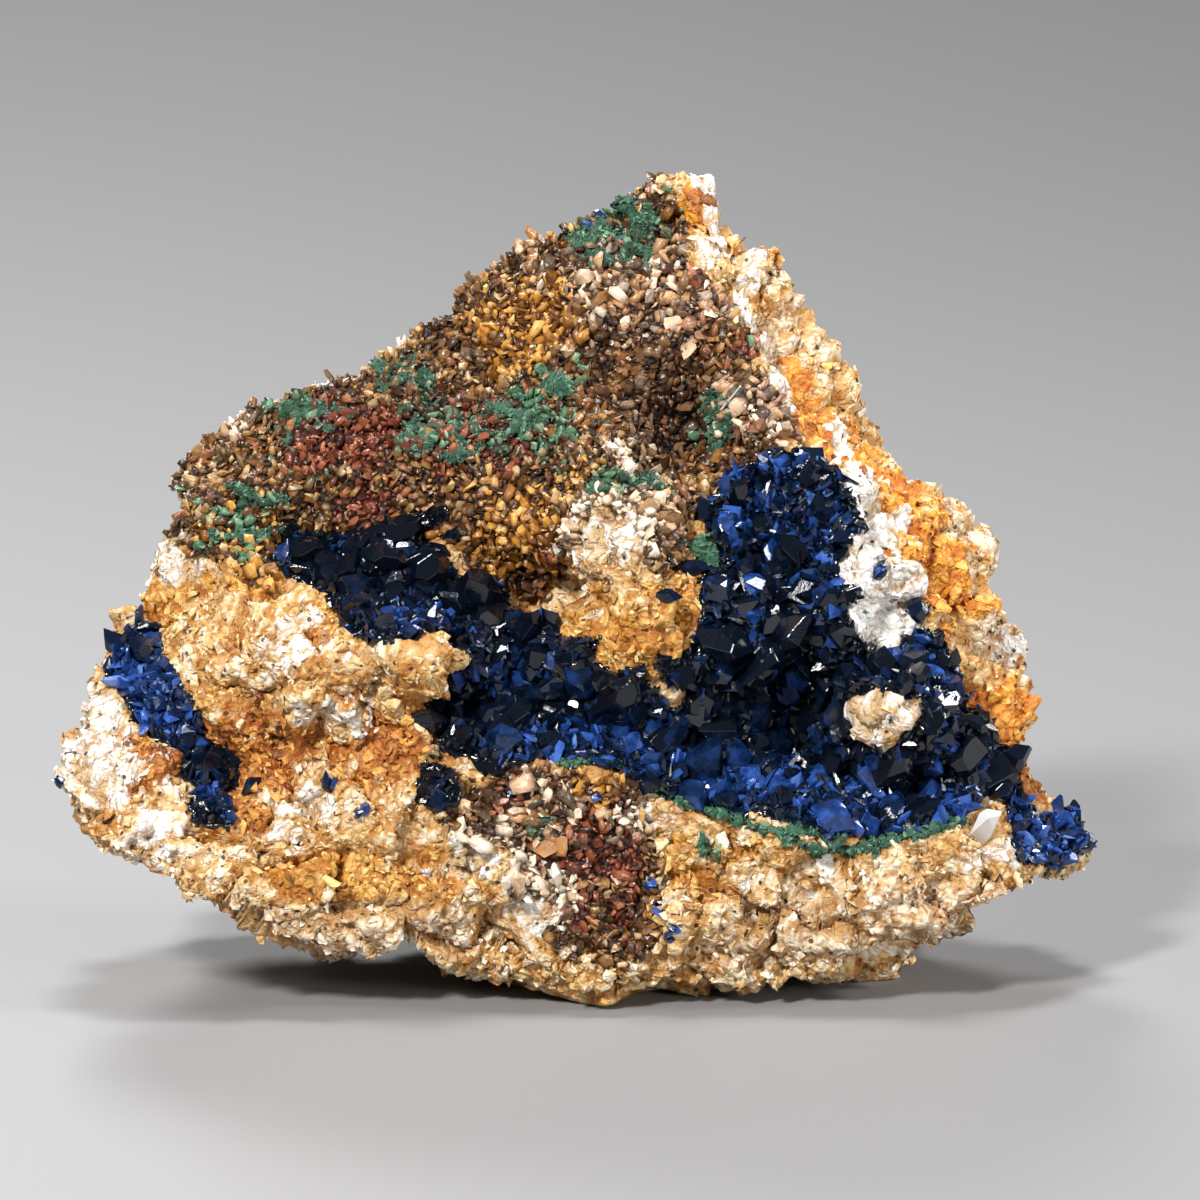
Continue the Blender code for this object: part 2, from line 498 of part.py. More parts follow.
def scattered(outline, count, sizes, seed):
    """Crystals that stand anyhow in an outline, the same ones each time."""
    chance = random.Random(seed)
    (u0, v0), (u1, v1) = np.min(outline, axis=0), np.max(outline, axis=0)
    found = []
    while len(found) < count:
        u, v = chance.uniform(u0, u1), chance.uniform(v0, v1)
        if inside(u, v, outline):
            width = chance.uniform(*sizes)
            axis = (chance.uniform(-0.6, 0.6), chance.uniform(-0.4, 0.7), 1.0)
            breadth, length = width * SMALL_BREADTH, width * SMALL_LENGTH
            found.append((u, v, width, breadth, length, axis, chance.uniform(0, 180)))
    return found


def cluster(name, crystals, front_at, inward):
    """A collection of crystal shapes rooted in the stone's face."""
    shapes = bpy.data.collections.new(f"{name}_crystals")
    bpy.context.scene.collection.children.link(shapes)
    for number, (u, v, width, breadth, length, axis, roll) in enumerate(crystals):
        base = front_at(u, v) + inward * ROOT_DEPTH * MM
        shape = into(shapes, crystal(f"{name}_{number:02d}", (width, breadth, length), axis, roll, base))
        shape.hide_render = True
        shape.display_type = "WIRE"
    return shapes


def crust(name, outline, thickness, skin, body, hole=None, crystals=None):
    """A growth on the stone's face: its outline drawn through the stone's skin, a set thickness deep."""
    raw = prism(f"{name}_prism", outline)
    boolean(raw, "INTERSECT", lifted_stone(body, thickness))
    if hole:
        boolean(raw, "DIFFERENCE", as_cutter(prism(f"{name}_hole", hole)))
    if crystals:
        boolean(raw, "UNION", crystals)
    boolean(raw, "DIFFERENCE", skin)
    return solid_of(raw, name)


def azurite_vein(body, skin, front_at, inward):
    """The sheet of grown-together azurite along the groove, with its large crystals."""
    crystals = VEIN_CRYSTALS + scattered(VEIN, VEIN_SMALL_CRYSTALS, SMALL_WIDTHS, seed=3)
    shapes = cluster("vein", crystals, front_at, inward)
    return crust("azurite_vein", VEIN, VEIN_THICKNESS, skin, body, KNOB_HOLE, shapes)


def small_growths(body, skin, front_at, inward):
    """The pockets of azurite and the crusts of malachite beside the vein."""
    for number, (name, (outline, thickness, count)) in enumerate(PATCHES.items()):
        shapes = None
        if count:
            shapes = cluster(name, scattered(outline, count, PATCH_WIDTHS, seed=number), front_at, inward)
        yield crust(name, outline, thickness, skin, body, crystals=shapes)


def single_crystals(skin, front_at, inward):
    """The crystals that stand alone on the face."""
    for name, (u, v, width, breadth, length, axis, roll) in SINGLES.items():
        base = front_at(u, v) + inward * SINK * length * MM
        raw = crystal(f"{name}_raw", (width, breadth, length), axis, roll, base)
        boolean(raw, "DIFFERENCE", skin)
        yield solid_of(raw, name)


def build():
    for old in list(bpy.data.objects):
        bpy.data.objects.remove(old)
    specimen = bpy.data.collections.new("azurite_specimen")
    for collection in (specimen, bpy.data.collections.new("cutters")):
        bpy.context.scene.collection.children.link(collection)

    body = finished(into(specimen, solid_of(stone(), "matrix_rock")), "stone")
    front_at, inward = face_finder(body)
    skin = lifted_stone(body, GAP)
    growths = [azurite_vein(body, skin, front_at, inward)]
    growths += small_growths(body, skin, front_at, inward)
    growths += single_crystals(skin, front_at, inward)
    for growth in growths:
        finished(into(specimen, growth), growth.name.split("_")[0])


build()
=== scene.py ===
"""Azurite on matrix: a cabinet specimen of dark blue crystals in a groove of a drusy, iron-stained stone.

The stone rests on its broken base. Its crystal face, which leans back a little, is laid out in face
places, in millimetres: u runs to the right, v up the face and d back into the stone.
"""
import itertools
import json
import math
import random

import bmesh
import bpy
import numpy as np
from mathutils import Matrix, Vector, noise
from mathutils.bvhtree import BVHTree
from mathutils.kdtree import KDTree

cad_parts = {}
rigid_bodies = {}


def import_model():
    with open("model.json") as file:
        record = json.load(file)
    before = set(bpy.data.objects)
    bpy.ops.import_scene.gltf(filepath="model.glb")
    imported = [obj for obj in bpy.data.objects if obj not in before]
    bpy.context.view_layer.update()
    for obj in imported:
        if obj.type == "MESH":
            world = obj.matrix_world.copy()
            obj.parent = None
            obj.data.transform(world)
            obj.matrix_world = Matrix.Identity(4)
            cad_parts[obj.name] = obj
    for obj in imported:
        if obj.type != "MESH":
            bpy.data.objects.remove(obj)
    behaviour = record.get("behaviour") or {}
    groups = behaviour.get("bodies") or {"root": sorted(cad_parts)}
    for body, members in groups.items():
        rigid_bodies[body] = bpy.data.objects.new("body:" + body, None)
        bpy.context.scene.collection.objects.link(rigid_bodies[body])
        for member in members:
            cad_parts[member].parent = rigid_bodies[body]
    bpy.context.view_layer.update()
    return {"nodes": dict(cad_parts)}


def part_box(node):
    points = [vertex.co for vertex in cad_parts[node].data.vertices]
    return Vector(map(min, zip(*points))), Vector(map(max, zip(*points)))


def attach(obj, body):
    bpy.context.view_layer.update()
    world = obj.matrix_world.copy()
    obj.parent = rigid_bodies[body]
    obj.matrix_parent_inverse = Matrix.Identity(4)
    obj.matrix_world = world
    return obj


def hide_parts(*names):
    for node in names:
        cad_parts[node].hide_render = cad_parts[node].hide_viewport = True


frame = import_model()

# ---- Camera -------------------------------------------------------------------------------------
# The specimen is looked at square to its crystal face, from a little above, through a long lens that
# keeps its sides nearly parallel.
MM = 0.001
LEAN = math.radians(10.0)  # how far the crystal face leans back
FACE_FOOT = (0.0, -4.5)  # where the face's zero stands on the floor, x and y in mm
LENS, SENSOR = 300.0, 36.0
VIEW_CENTRE = (2.6, 40.1, -6.0)
VIEW_WIDTH = 126.4


def on_face(u, v, d=0.0):
    """A face place in mm as a point in metres."""
    return Vector((
        (u + FACE_FOOT[0]) * MM,
        (v * math.sin(LEAN) + d * math.cos(LEAN) + FACE_FOOT[1]) * MM,
        (v * math.cos(LEAN) - d * math.sin(LEAN)) * MM,
    ))


def face_places(points):
    """Points in metres as face places in mm: arrays of u, v and d."""
    x, y, z = (np.asarray(points) / MM).T
    y = y - FACE_FOOT[1]
    up, back = y * math.sin(LEAN) + z * math.cos(LEAN), y * math.cos(LEAN) - z * math.sin(LEAN)
    return x - FACE_FOOT[0], up, back


INWARD = (on_face(0, 0, 1) - on_face(0, 0, 0)).normalized()
camera = bpy.data.objects.new("camera", bpy.data.cameras.new("camera"))
camera.data.lens, camera.data.sensor_width = LENS, SENSOR
camera.data.clip_start, camera.data.clip_end = 0.01, 20.0
camera.location = on_face(*VIEW_CENTRE) - INWARD * (VIEW_WIDTH * LENS / SENSOR * MM)
camera.rotation_euler = INWARD.to_track_quat("-Z", "Y").to_euler()
bpy.context.scene.collection.objects.link(camera)
bpy.context.scene.camera = camera

# ---- Matrix stone -------------------------------------------------------------------------------
# One lump of quartz and carbonate rock, broken all round. Its upper face is lined with small crystals
# and its lower and right faces are sugary breaks, stained by iron from cream to orange and red-brown.
STONE_VOXEL = 0.42
SMOOTHINGS = 4
UPPER_DRUSE = [
    (-42.5, 53), (-39, 59), (-33, 63.5), (-24, 65.5), (-14, 72), (-6.5, 79), (2.5, 84),
    (8.5, 86), (10.2, 84.8), (10.6, 80.2), (13.6, 75.1), (16.3, 70.9), (19.2, 66.3), (21.6, 62.1),
    (24.1, 57.4), (23.5, 55.5), (18, 54),
    (13, 51), (12, 45.5), (7, 44), (6, 50), (0.5, 50.5), (-1.5, 44), (-4, 40), (-8, 41), (-12.5, 42),
    (-13, 47.5), (-18.5, 48.5), (-29, 46), (-32, 43), (-38, 44.5), (-40.5, 46.5), (-43, 48.5),
]
LOWER_DRUSE = [(-15.5, 22), (-1.5, 23), (7, 20.5), (8, 14), (7.5, 2), (-1.5, 5), (-6, 14), (-13, 15.5)]
# Where each stain lies on the face, as ovals: (u, v, two radii, turn in degrees, strength).
# Brown is partly dark brown crystals and partly painted shade in the face's hollows.
STAINS = {
    "red": [
        (-24, 56.5, 6.5, 4, 0, 1), (-22.5, 50.5, 2.5, 2.5, 0, 0.9), (-29, 57, 3, 3, 0, 0.7),
        (-10, 58, 8, 6, 0, 0.6), (1.5, 12.5, 5.0, 7, -10, 0.62), (-9, 19, 6.5, 3.0, 0, 0.35),
        (30, 12.5, 4, 1.5, 0, 0.7), (13, 75, 2.5, 2.5, 0, 0.5), (-1, 43.5, 4.5, 2.5, 0, 0.6),
        (17.5, 66.5, 4, 2, 0, 0.5), (37.5, 14, 5.5, 1.5, 0, 0.5),
    ],
    "rust": [
        (-34, 24.5, 6.5, 4, 0, 1), (-20, 24, 5.5, 4, 0, 0.8), (-45, 23, 4, 2.5, 0, 1),
        (-35, 19, 3, 3, 0, 1), (-12, 19, 4.5, 3, 0, 0.6), (13, 82.5, 1.5, 3, 0, 0.9),
        (49, 21.5, 2, 3, 0, 1), (-1.5, 44.5, 4, 4, 0, 0.6), (-52, 29.5, 2.5, 2, 0, 0.6),
        (-16.5, 29.5, 4, 2, 0, 0.6),
    ],
    "ochre": [
        (-5.5, 69, 6, 4.5, 0, 1), (-6, 46, 5, 5.5, 0, 1), (5.5, 36, 7, 5.5, 0, 1),
        (-35.5, 48, 6.5, 4, 0, 0.7), (-28, 38, 4.5, 2.5, -20, 0.8), (-43, 39.5, 4, 1.5, 0, 0.9),
        (-35.5, 43, 6, 2.5, 0, 0.6), (11, 11.5, 2.5, 3, 0, 1), (-23.5, 11.5, 10.5, 2.5, 0, 0.85),
        (15.5, 20.5, 3, 1.5, 0, 1), (4.5, 21.5, 4.5, 2, 0, 0.9), (12, 41, 3, 5.5, 0, 0.6),
        (-1.5, 53, 4, 2, 0, 0.5), (1.5, -0.5, 5.5, 2.5, 0, 0.5), (17.5, 14, 4, 3, 0, 0.6),
        (-54.5, 23.5, 1.5, 3, 0, 0.6), (-39, 30.5, 3.5, 3, -40, 0.5), (-10, 31.5, 2, 3, 0, 0.4),
    ],
    "orange": [
        (24, 61, 3.5, 4.5, 0, 1), (32.5, 53.5, 5, 3.5, -30, 1), (37, 43.5, 4.5, 6.5, 0, 1.1),
        (45, 28, 4.5, 4, 0, 1), (27, 57, 2.5, 2.5, 0, 0.8), (40.5, 40, 3.5, 3, 0, 0.8),
        (12.0, 81.0, 1.4, 3.2, 0, 1.1), (49, 30.5, 1.5, 3, 0, 0.7), (39.5, 35, 3, 1.5, 0, 0.5),
    ],
    "white": [
        (3.0, 47.8, 5, 4.2, 0, 1.2), (31.0, 27.4, 4.5, 3.4, 0, 0.8), (-29.5, 36.5, 5, 3, -20, 0.6),
        (5.5, 55.5, 3, 2, -20, 0.9), (14.2, 84, 1.6, 3, 25, 1.5),
        (16.4, 78.8, 1.5, 3.2, 25, 1.4), (18.0, 74, 1.7, 3.4, 25, 1.4), (20.3, 68.8, 1.5, 4, 25, 1.2),
        (22.4, 64, 1.2, 3, 25, 1.0),
        (-37, 59, 1.5, 1.5, 0, 1), (-43, 44.5, 2.5, 3.5, 0, 0.9), (-32, 34, 6.5, 4.5, 0, 0.4),
        (-50.5, 24, 5, 5.5, 0, 1), (-43, 16.5, 3.5, 4, 0, 0.9), (-29, 18, 4, 2.5, 0, 0.8),
        (-10, 14, 6, 2.5, 0, 0.9), (-3.5, 8.5, 3, 4.5, 0, 0.9), (29.2, 53.5, 1.2, 3, 20, 1),
        (30.6, 48.8, 3.4, 4.2, -12, 2.6), (29.8, 42.0, 4.4, 4.8, 0, 2.6), (30.6, 36.4, 4.4, 4.6, 10, 2.6),
        (43, 14, 3.5, 2.5, 0, 0.8), (8, 17.5, 4.5, 2, 0, 0.6), (18, 9, 2.5, 3.5, 0, 0.6),
        (28.5, 57, 2, 1, -30, 0.9), (27, 10.5, 4, 2, 30, 0.5), (2.5, 40, 4, 3, 0, 0.4),
        (48, 34.5, 2.5, 2.5, 0, 0.7), (-26, 27.5, 5.5, 2, -20, 0.6), (26, 73, 3, 5.5, 0, 0.3),
    ],
    "tan": [
        (30, 5, 13, 5, 0, 1), (-25, 5.5, 17.5, 3.5, 0, 1), (43, 48.5, 5, 3, -30, 0.9),
        (45, 40, 2.5, 5.5, 0, 0.9), (23.5, 68.5, 4, 6.5, 0, 0.5), (17, 4.5, 4.5, 5.5, 0, 0.8),
        (40.5, 8, 7.5, 3.5, 0, 0.8), (-45, 12.5, 5.5, 2, 0, 0.6), (7, -0.5, 6.5, 2, 0, 0.3),
        (48, 25.5, 3, 3, 0, 0.3),
    ],
    "pink": [
        (7, 73, 10, 5, 0, 1), (18.5, 59.5, 5, 3.5, 0, 1), (-1.5, 76, 5.5, 3, 0, 0.8),
        (9, 48.5, 4.5, 3.5, 0, 0.6), (0, 70.5, 6.5, 6.5, 0, 0.5), (7, 54, 4, 2, 0, 0.6),
        (-3, 15, 8, 6, 0, 0.8),
    ],
    # Brown: partly dark brown crystals, partly painted shade in the hollows of the face.
    "brown": [
        (9.5, 61.5, 4.5, 6, 0, 1), (-27, 63, 6, 1.5, 0, 0.8), (-12.5, 68, 3, 2.5, 0, 1),
        (-10, 41, 6.5, 4, 0, 0.6), (-32, 41, 5.5, 1.5, 0, 0.6), (4.5, 78, 5.5, 2.5, 0, 1),
        (-15.5, 61, 9.5, 5.5, 0, 0.4), (2.5, 65.5, 6.5, 5.5, 0, 0.4),
    ],
}
# Where malachite tints the stone's own grains green.
GREEN = [
    (-35.3, 49, 6.5, 4.5, 0, 0.5), (-15.3, 60, 4, 6, 0, 0.5), (-4.7, 59.5, 7, 6, 0, 0.5),
    (5.3, 79.7, 6, 4, 0, 0.55), (13.8, 59.5, 2.5, 4, 0, 0.5), (13.7, 45.4, 1.8, 2.2, 0, 1),
    (-29, 60.7, 5, 2.5, 0, 0.5), (6.3, 52.5, 6.5, 1.3, 0, 0.6), (13.2, 15, 1.0, 1.6, 0, 0.8),
    (-21, 66, 3, 1.2, 0, 0.6), (-3, 17, 1.2, 1.2, 0, 0.7), (-33, 45.5, 4, 1.5, 0, 0.45),
]
# Lumps (+) and hollows (-) of the face that are too small for the solid: an oval and its height in mm.
BOSSES = [
    (32.0, 27.2, 4.0, 3.4, 10, 2.0), (4.5, 79.5, 5.5, 3.0, 8, 1.6), (5.5, 36, 6, 5, 0, 1.4),
    (-15.5, 33.8, 5.0, 3.2, 0, 1.8), (12.6, 84.0, 3.0, 3.0, 0, 1.6),
    (-12.6, 30.4, 2.8, 1.8, 25, -3.0), (-17.8, 36.2, 0.7, 2.6, 35, -1.6), (-13.4, 35.0, 0.6, 2.4, -30, -1.2),
    (30.2, 26.0, 0.7, 2.2, 30, -1.5), (33.4, 28.6, 0.7, 2.0, -40, -1.4), (34.6, 26.2, 1.2, 1.2, 0, -1.6),
    (10, 57, 3.2, 8.0, -25, -1.8), (-2, 41.2, 5.0, 2.4, -25, -1.6), (31.3, 43, 2.4, 9.0, 12, 1.2),
    (-42.2, 13.2, 0.7, 3.0, 35, -1.8),
    (-44.5, 15.5, 0.6, 2.5, -30, -1.2), (23.5, 8.5, 0.7, 4.0, -50, -1.6), (19.5, 3.5, 0.7, 4.0, 0, -1.4),
    (-17.5, 4.5, 0.7, 3.5, 10, -1.5), (-1.5, 8.0, 0.6, 4.5, 15, -0.9), (-31.5, 36, 4.5, 4.0, 0, 1.3),
    (-26, 31, 0.8, 5.0, 60, -1.2), (-20.5, 30.5, 0.8, 4.0, 0, -1.4), (3.5, 47, 5.0, 3.5, 0, 1.5),
    (8, 52.5, 6.0, 0.8, 0, -1.3), (4.5, 66, 3.0, 5.0, -20, -1.2), (15, 68, 2.0, 8.0, 20, 1.0),
    (-9, 65, 8.0, 1.0, 35, -1.2), (-18, 58.5, 9.0, 0.9, 15, -1.2), (24, 66, 0.8, 7.0, 25, -1.0),
    (38.5, 44, 5.0, 5.0, 0, 0.9), (41.5, 35.5, 4.0, 0.8, -30, -1.4), (12, 20, 5.0, 0.8, -10, -1.0),
    (-30, 14, 8.0, 0.8, -12, -1.2), (5, 5, 0.7, 4.0, -20, -1.2), (35.5, 8.5, 6.0, 0.8, 20, -1.1),
]
# How strongly each stain turns up anywhere on the parts of the stone that the face doesn't reach.
BACK_STAINS = {
    "red": 0.0, "rust": 0.1, "ochre": 0.4, "orange": 0.08, "white": 0.45, "tan": 0.6, "pink": 0.0,
    "brown": 0.0,
}
STAIN_EDGE = 0.405  # how far a stain's edge strays, as a share of its strength
# How far each kind of roughness stands out of the broken rock or sinks into it, in mm.
SWELL, LARGE_BLOCK, BLOCK, SMALL_LUMP, FLAKE, CRACK, LARGE_CRACK = 0.7, 2.2, 0.5, 0.25, 0.35, 0.35, 0.9
# The stains that each point of the stone carries, three to an attribute.
STAIN_VECTORS = {
    "iron": ("red", "rust", "ochre"),
    "tint": ("orange", "white", "tan"),
    "lining": ("druse", "pink", "brown"),
}
# Colours along a grain's shade, dark to light: of the broken rock as it is and under each stain, and of
# the crystal lining likewise. The lining's first two run along a crystal's kind instead.
ROCK_COLOURS = {
    "bare": [
        (0.38, (0.50, 0.24, 0.055)), (0.46, (0.70, 0.45, 0.17)), (0.55, (0.81, 0.64, 0.38)),
        (0.66, (0.92, 0.87, 0.75)),
    ],
    "tan": [(0.25, (0.46, 0.31, 0.16)), (0.45, (0.75, 0.60, 0.41)), (0.7, (0.90, 0.83, 0.69))],
    "ochre": [(0.2, (0.26, 0.09, 0.012)), (0.45, (0.66, 0.33, 0.05)), (0.7, (0.88, 0.62, 0.24))],
    "orange": [(0.25, (0.44, 0.11, 0.008)), (0.48, (0.78, 0.31, 0.025)), (0.75, (0.92, 0.54, 0.13))],
    "rust": [(0.25, (0.17, 0.042, 0.006)), (0.48, (0.52, 0.19, 0.028)), (0.75, (0.82, 0.46, 0.12))],
    "white": [(0.2, (0.76, 0.70, 0.60)), (0.42, (0.88, 0.86, 0.81)), (0.7, (0.93, 0.93, 0.92))],
}
LINING_COLOURS = {
    "bare": [
        (0.08, (0.17, 0.060, 0.032)), (0.32, (0.30, 0.115, 0.020)), (0.55, (0.32, 0.155, 0.045)),
        (0.80, (0.40, 0.23, 0.08)), (0.97, (0.66, 0.46, 0.26)),
    ],
    "pink": [
        (0.08, (0.24, 0.10, 0.060)), (0.32, (0.42, 0.20, 0.060)), (0.58, (0.56, 0.34, 0.20)),
        (0.90, (0.94, 0.78, 0.60)),
    ],
    "ochre": [
        (0.28, (0.10, 0.030, 0.006)), (0.46, (0.33, 0.13, 0.018)), (0.6, (0.56, 0.26, 0.04)),
        (0.75, (0.70, 0.42, 0.13)),
    ],
    "red": [(0.28, (0.035, 0.008, 0.005)), (0.5, (0.17, 0.036, 0.016)), (0.75, (0.34, 0.11, 0.05))],
    "white": [(0.28, (0.36, 0.21, 0.11)), (0.45, (0.70, 0.52, 0.35)), (0.6, (0.86, 0.77, 0.62))],
    # Brown, nearly black, is partly dark brown crystals and partly painted shade in the hollows.
    "brown": [(0.25, (0.012, 0.006, 0.004)), (0.7, (0.13, 0.06, 0.035))],
}
GREEN_GRAINS = [(0.25, (0.012, 0.034, 0.018)), (0.5, (0.045, 0.12, 0.062)), (0.75, (0.15, 0.27, 0.16))]
SEAM_STAIN, PIT_STAIN = (0.34, 0.125, 0.025, 1), (0.06, 0.02, 0.006, 1)
# Painted shade, multiplied in where Rise is low: on the broken rock partly iron stain in its creases, nearly
# black at the roots of the lining's crystals.
ROOT_STAIN_AND_PAINTED_SHADE, LINING_ROOT_PAINTED_SHADE = (0.64, 0.40, 0.15, 1), (0.12, 0.06, 0.03, 1)
AZURITE_NODES = [name for name in frame["nodes"] if name.startswith("azurite") and "crystal" not in name]


def merged(node):
    """A CAD node's surface as a bmesh, its loose triangles merged."""
    shape = bmesh.new()
    shape.from_mesh(frame["nodes"][node].data)
    bmesh.ops.remove_doubles(shape, verts=shape.verts, dist=0.002 * MM)
    return shape


def piece_from(shape, name):
    """A new object in the scene from a bmesh."""
    mesh = bpy.data.meshes.new(name)
    shape.to_mesh(mesh)
    shape.free()
    made = bpy.data.objects.new(name, mesh)
    bpy.context.scene.collection.objects.link(made)
    return made


def made_plain(obj, name):
    """The object as its modifiers leave it, as a plain mesh that takes its place."""
    graph = bpy.context.evaluated_depsgraph_get()
    mesh = bpy.data.meshes.new_from_object(obj.evaluated_get(graph))
    mesh.name = name
    bpy.data.objects.remove(obj)
    plain = bpy.data.objects.new(name, mesh)
    bpy.context.scene.collection.objects.link(plain)
    return plain


def places_of(mesh):
    """The mesh's points as an array of rows, in metres."""
    flat = np.empty(len(mesh.vertices) * 3, np.float32)
    mesh.vertices.foreach_get("co", flat)
    return flat.reshape(-1, 3).astype(float)


def normals_of(mesh):
    flat = np.empty(len(mesh.vertices) * 3, np.float32)
    mesh.vertex_normals.foreach_get("vector", flat)
    return flat.reshape(-1, 3).astype(float)


def facing_of(normals):
    """How far each normal turns to the front: 1 for straight at it, -1 for away from it."""
    return -(normals @ np.array(INWARD))


def values_of(mesh, name):
    """The numbers that the mesh keeps under a name."""
    flat = np.empty(len(mesh.vertices), np.float32)
    mesh.attributes[name].data.foreach_get("value", flat)
    return flat.astype(float)


def store(mesh, name, values):
    """Keeps a number, or three, for each point of the mesh, or the same number for all of them."""
    if np.ndim(values) == 0:
        values = np.full(len(mesh.vertices), values)
    kind, field = ("FLOAT", "value") if np.ndim(values) == 1 else ("FLOAT_VECTOR", "vector")
    layer = mesh.attributes.new(name, kind, "POINT")
    layer.data.foreach_set(field, np.asarray(values, np.float32).ravel())


def move(mesh, points):
    """Puts the mesh's points at new places."""
    mesh.vertices.foreach_set("co", points.astype(np.float32).ravel())


def soft_step(values, low, high):
    share = np.clip((values - low) / (high - low), 0, 1)
    return share * share * (3 - 2 * share)


def grain_of(points, size, seed, octaves=3):
    """Smooth noise from about -1 to 1, with lumps of that size in mm."""
    away = Vector((seed * 17.3, seed * 5.1, seed * 9.7))
    return np.array([
        noise.fractal(Vector(p) / (size * MM) + away, 0.8, 2.1, octaves) for p in points
    ])


def lumps_of(points, size, seed):
    """Rounded lumps of that size in mm: 1 at a lump's middle, 0 in the creases between lumps."""
    away = Vector((seed * 3.7, seed * 11.9, seed * 7.3))
    return np.array([
        1 - min(noise.voronoi(Vector(p) / (size * MM) + away)[0][0] * 1.25, 1.0) for p in points
    ])


def blocks_of(points, size, seed):
    """Broken blocks of that size in mm: each one's height, tilted its own way, and how near a crack is."""
    away = Vector((seed * 5.9, seed * 2.3, seed * 8.1))
    heights, cracks = np.empty(len(points)), np.empty(len(points))
    for index, point in enumerate(points):
        place = Vector(point) / (size * MM) + away
        gaps, middles = noise.voronoi(place)
        tilt = noise.cell_vector(middles[0] * 7.7)
        heights[index] = (place - middles[0]).dot(tilt) + 0.5 * (noise.cell(middles[0] * 3.1) - 0.5)
        cracks[index] = gaps[1] - gaps[0]
    return heights, 1 - soft_step(cracks, 0.0, 0.3)


def in_oval(u, v, oval):
    """How strongly an oval reaches each place: its strength in the middle, fading past its edge."""
    across, up = u - oval[0], v - oval[1]
    c, s = math.cos(math.radians(oval[4])), math.sin(math.radians(oval[4]))
    share = ((across * c + up * s) / oval[2]) ** 2 + ((up * c - across * s) / oval[3]) ** 2
    return oval[5] * np.exp(-0.8 * share**1.5)


def inside(u, v, outline):
    """Which of the places lie in an outline."""
    odd = np.zeros(len(u), bool)
    for (u0, v0), (u1, v1) in zip(outline, outline[1:] + outline[:1]):
        if v0 != v1:
            odd ^= ((v0 > v) != (v1 > v)) & (u < u0 + (v - v0) * (u1 - u0) / (v1 - v0))
    return odd


def gap_to(points, node, far=3.0):
    """Distance in mm from each point to a CAD node, at most far."""
    nearest = np.full(len(points), far)
    shape = merged(node)
    tree = BVHTree.FromBMesh(shape)
    shape.free()
    low, high = (np.array(corner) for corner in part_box(node))
    near = ((points > low - far * MM) & (points < high + far * MM)).all(axis=1)
    for index in np.flatnonzero(near):
        found = tree.find_nearest(Vector(points[index]), far * MM)
        if found[0] is not None:
            nearest[index] = found[3] / MM
    return nearest


def add(tree, kind, sockets=None, **settings):
    """A new node: its own settings by name, then each socket's value or what feeds it."""
    made = tree.nodes.new(kind)
    for name, value in settings.items():
        setattr(made, name, value)
    for name, value in (sockets or {}).items():
        if isinstance(value, bpy.types.NodeSocket):
            tree.links.new(value, made.inputs[name])
        else:
            made.inputs[name].default_value = value
    return made


def over(tree, share, under, top):
    """The colour top laid over the colour under by a share."""
    return add(tree, "ShaderNodeMix", {0: share, 6: under, 7: top}, data_type="RGBA").outputs[2]


def step(tree, value, low, high, to_low=0.0, to_high=1.0):
    """A soft step of a value from low to high."""
    sockets = {"Value": value, "From Min": low, "From Max": high, "To Min": to_low, "To Max": to_high}
    return add(tree, "ShaderNodeMapRange", sockets, interpolation_type="SMOOTHSTEP").outputs[0]


def sums(tree, operation, first, second, clamped=False):
    """Two numbers put together, such as by ADD or POWER."""
    made = add(tree, "ShaderNodeMath", {0: first, 1: second}, operation=operation, use_clamp=clamped)
    return made.outputs[0]


def product(tree, first, *others):
    for value in others:
        first = sums(tree, "MULTIPLY", first, value)
    return first


def weighted(tree, *parts):
    """The sum of values, each times its weight."""
    first, *others = [product(tree, *part) for part in parts]
    for value in others:
        first = sums(tree, "ADD", first, value)
    return first


def vectors(tree, operation, first, second):
    """Two vectors or colours put together. SCALE takes a number as its second."""
    sockets = {0: first, 3 if operation == "SCALE" else 1: second}
    return add(tree, "ShaderNodeVectorMath", sockets, operation=operation).outputs[0]


def ramp(tree, value, *stops):
    """Colours along a value: each stop is its place and its colour."""
    made = add(tree, "ShaderNodeValToRGB", {0: value})
    for _ in range(len(stops) - 2):
        made.color_ramp.elements.new(0.5)
    for element, (place, colour) in zip(made.color_ramp.elements, stops):
        element.position, element.color = place, (*colour, 1)
    return made.outputs[0]


def speckle(tree, places, size, detail=4.0, rough=0.6):
    """Noise from 0 to 1 with lumps of that size in mm."""
    sockets = {"Vector": places, "Scale": 1 / (size * MM), "Detail": detail, "Roughness": rough}
    return add(tree, "ShaderNodeTexNoise", sockets).outputs[0]


def read(tree, name, part=2):
    """An attribute of the mesh: its number, or its vector with part 1."""
    return add(tree, "ShaderNodeAttribute", attribute_name=name).outputs[part]


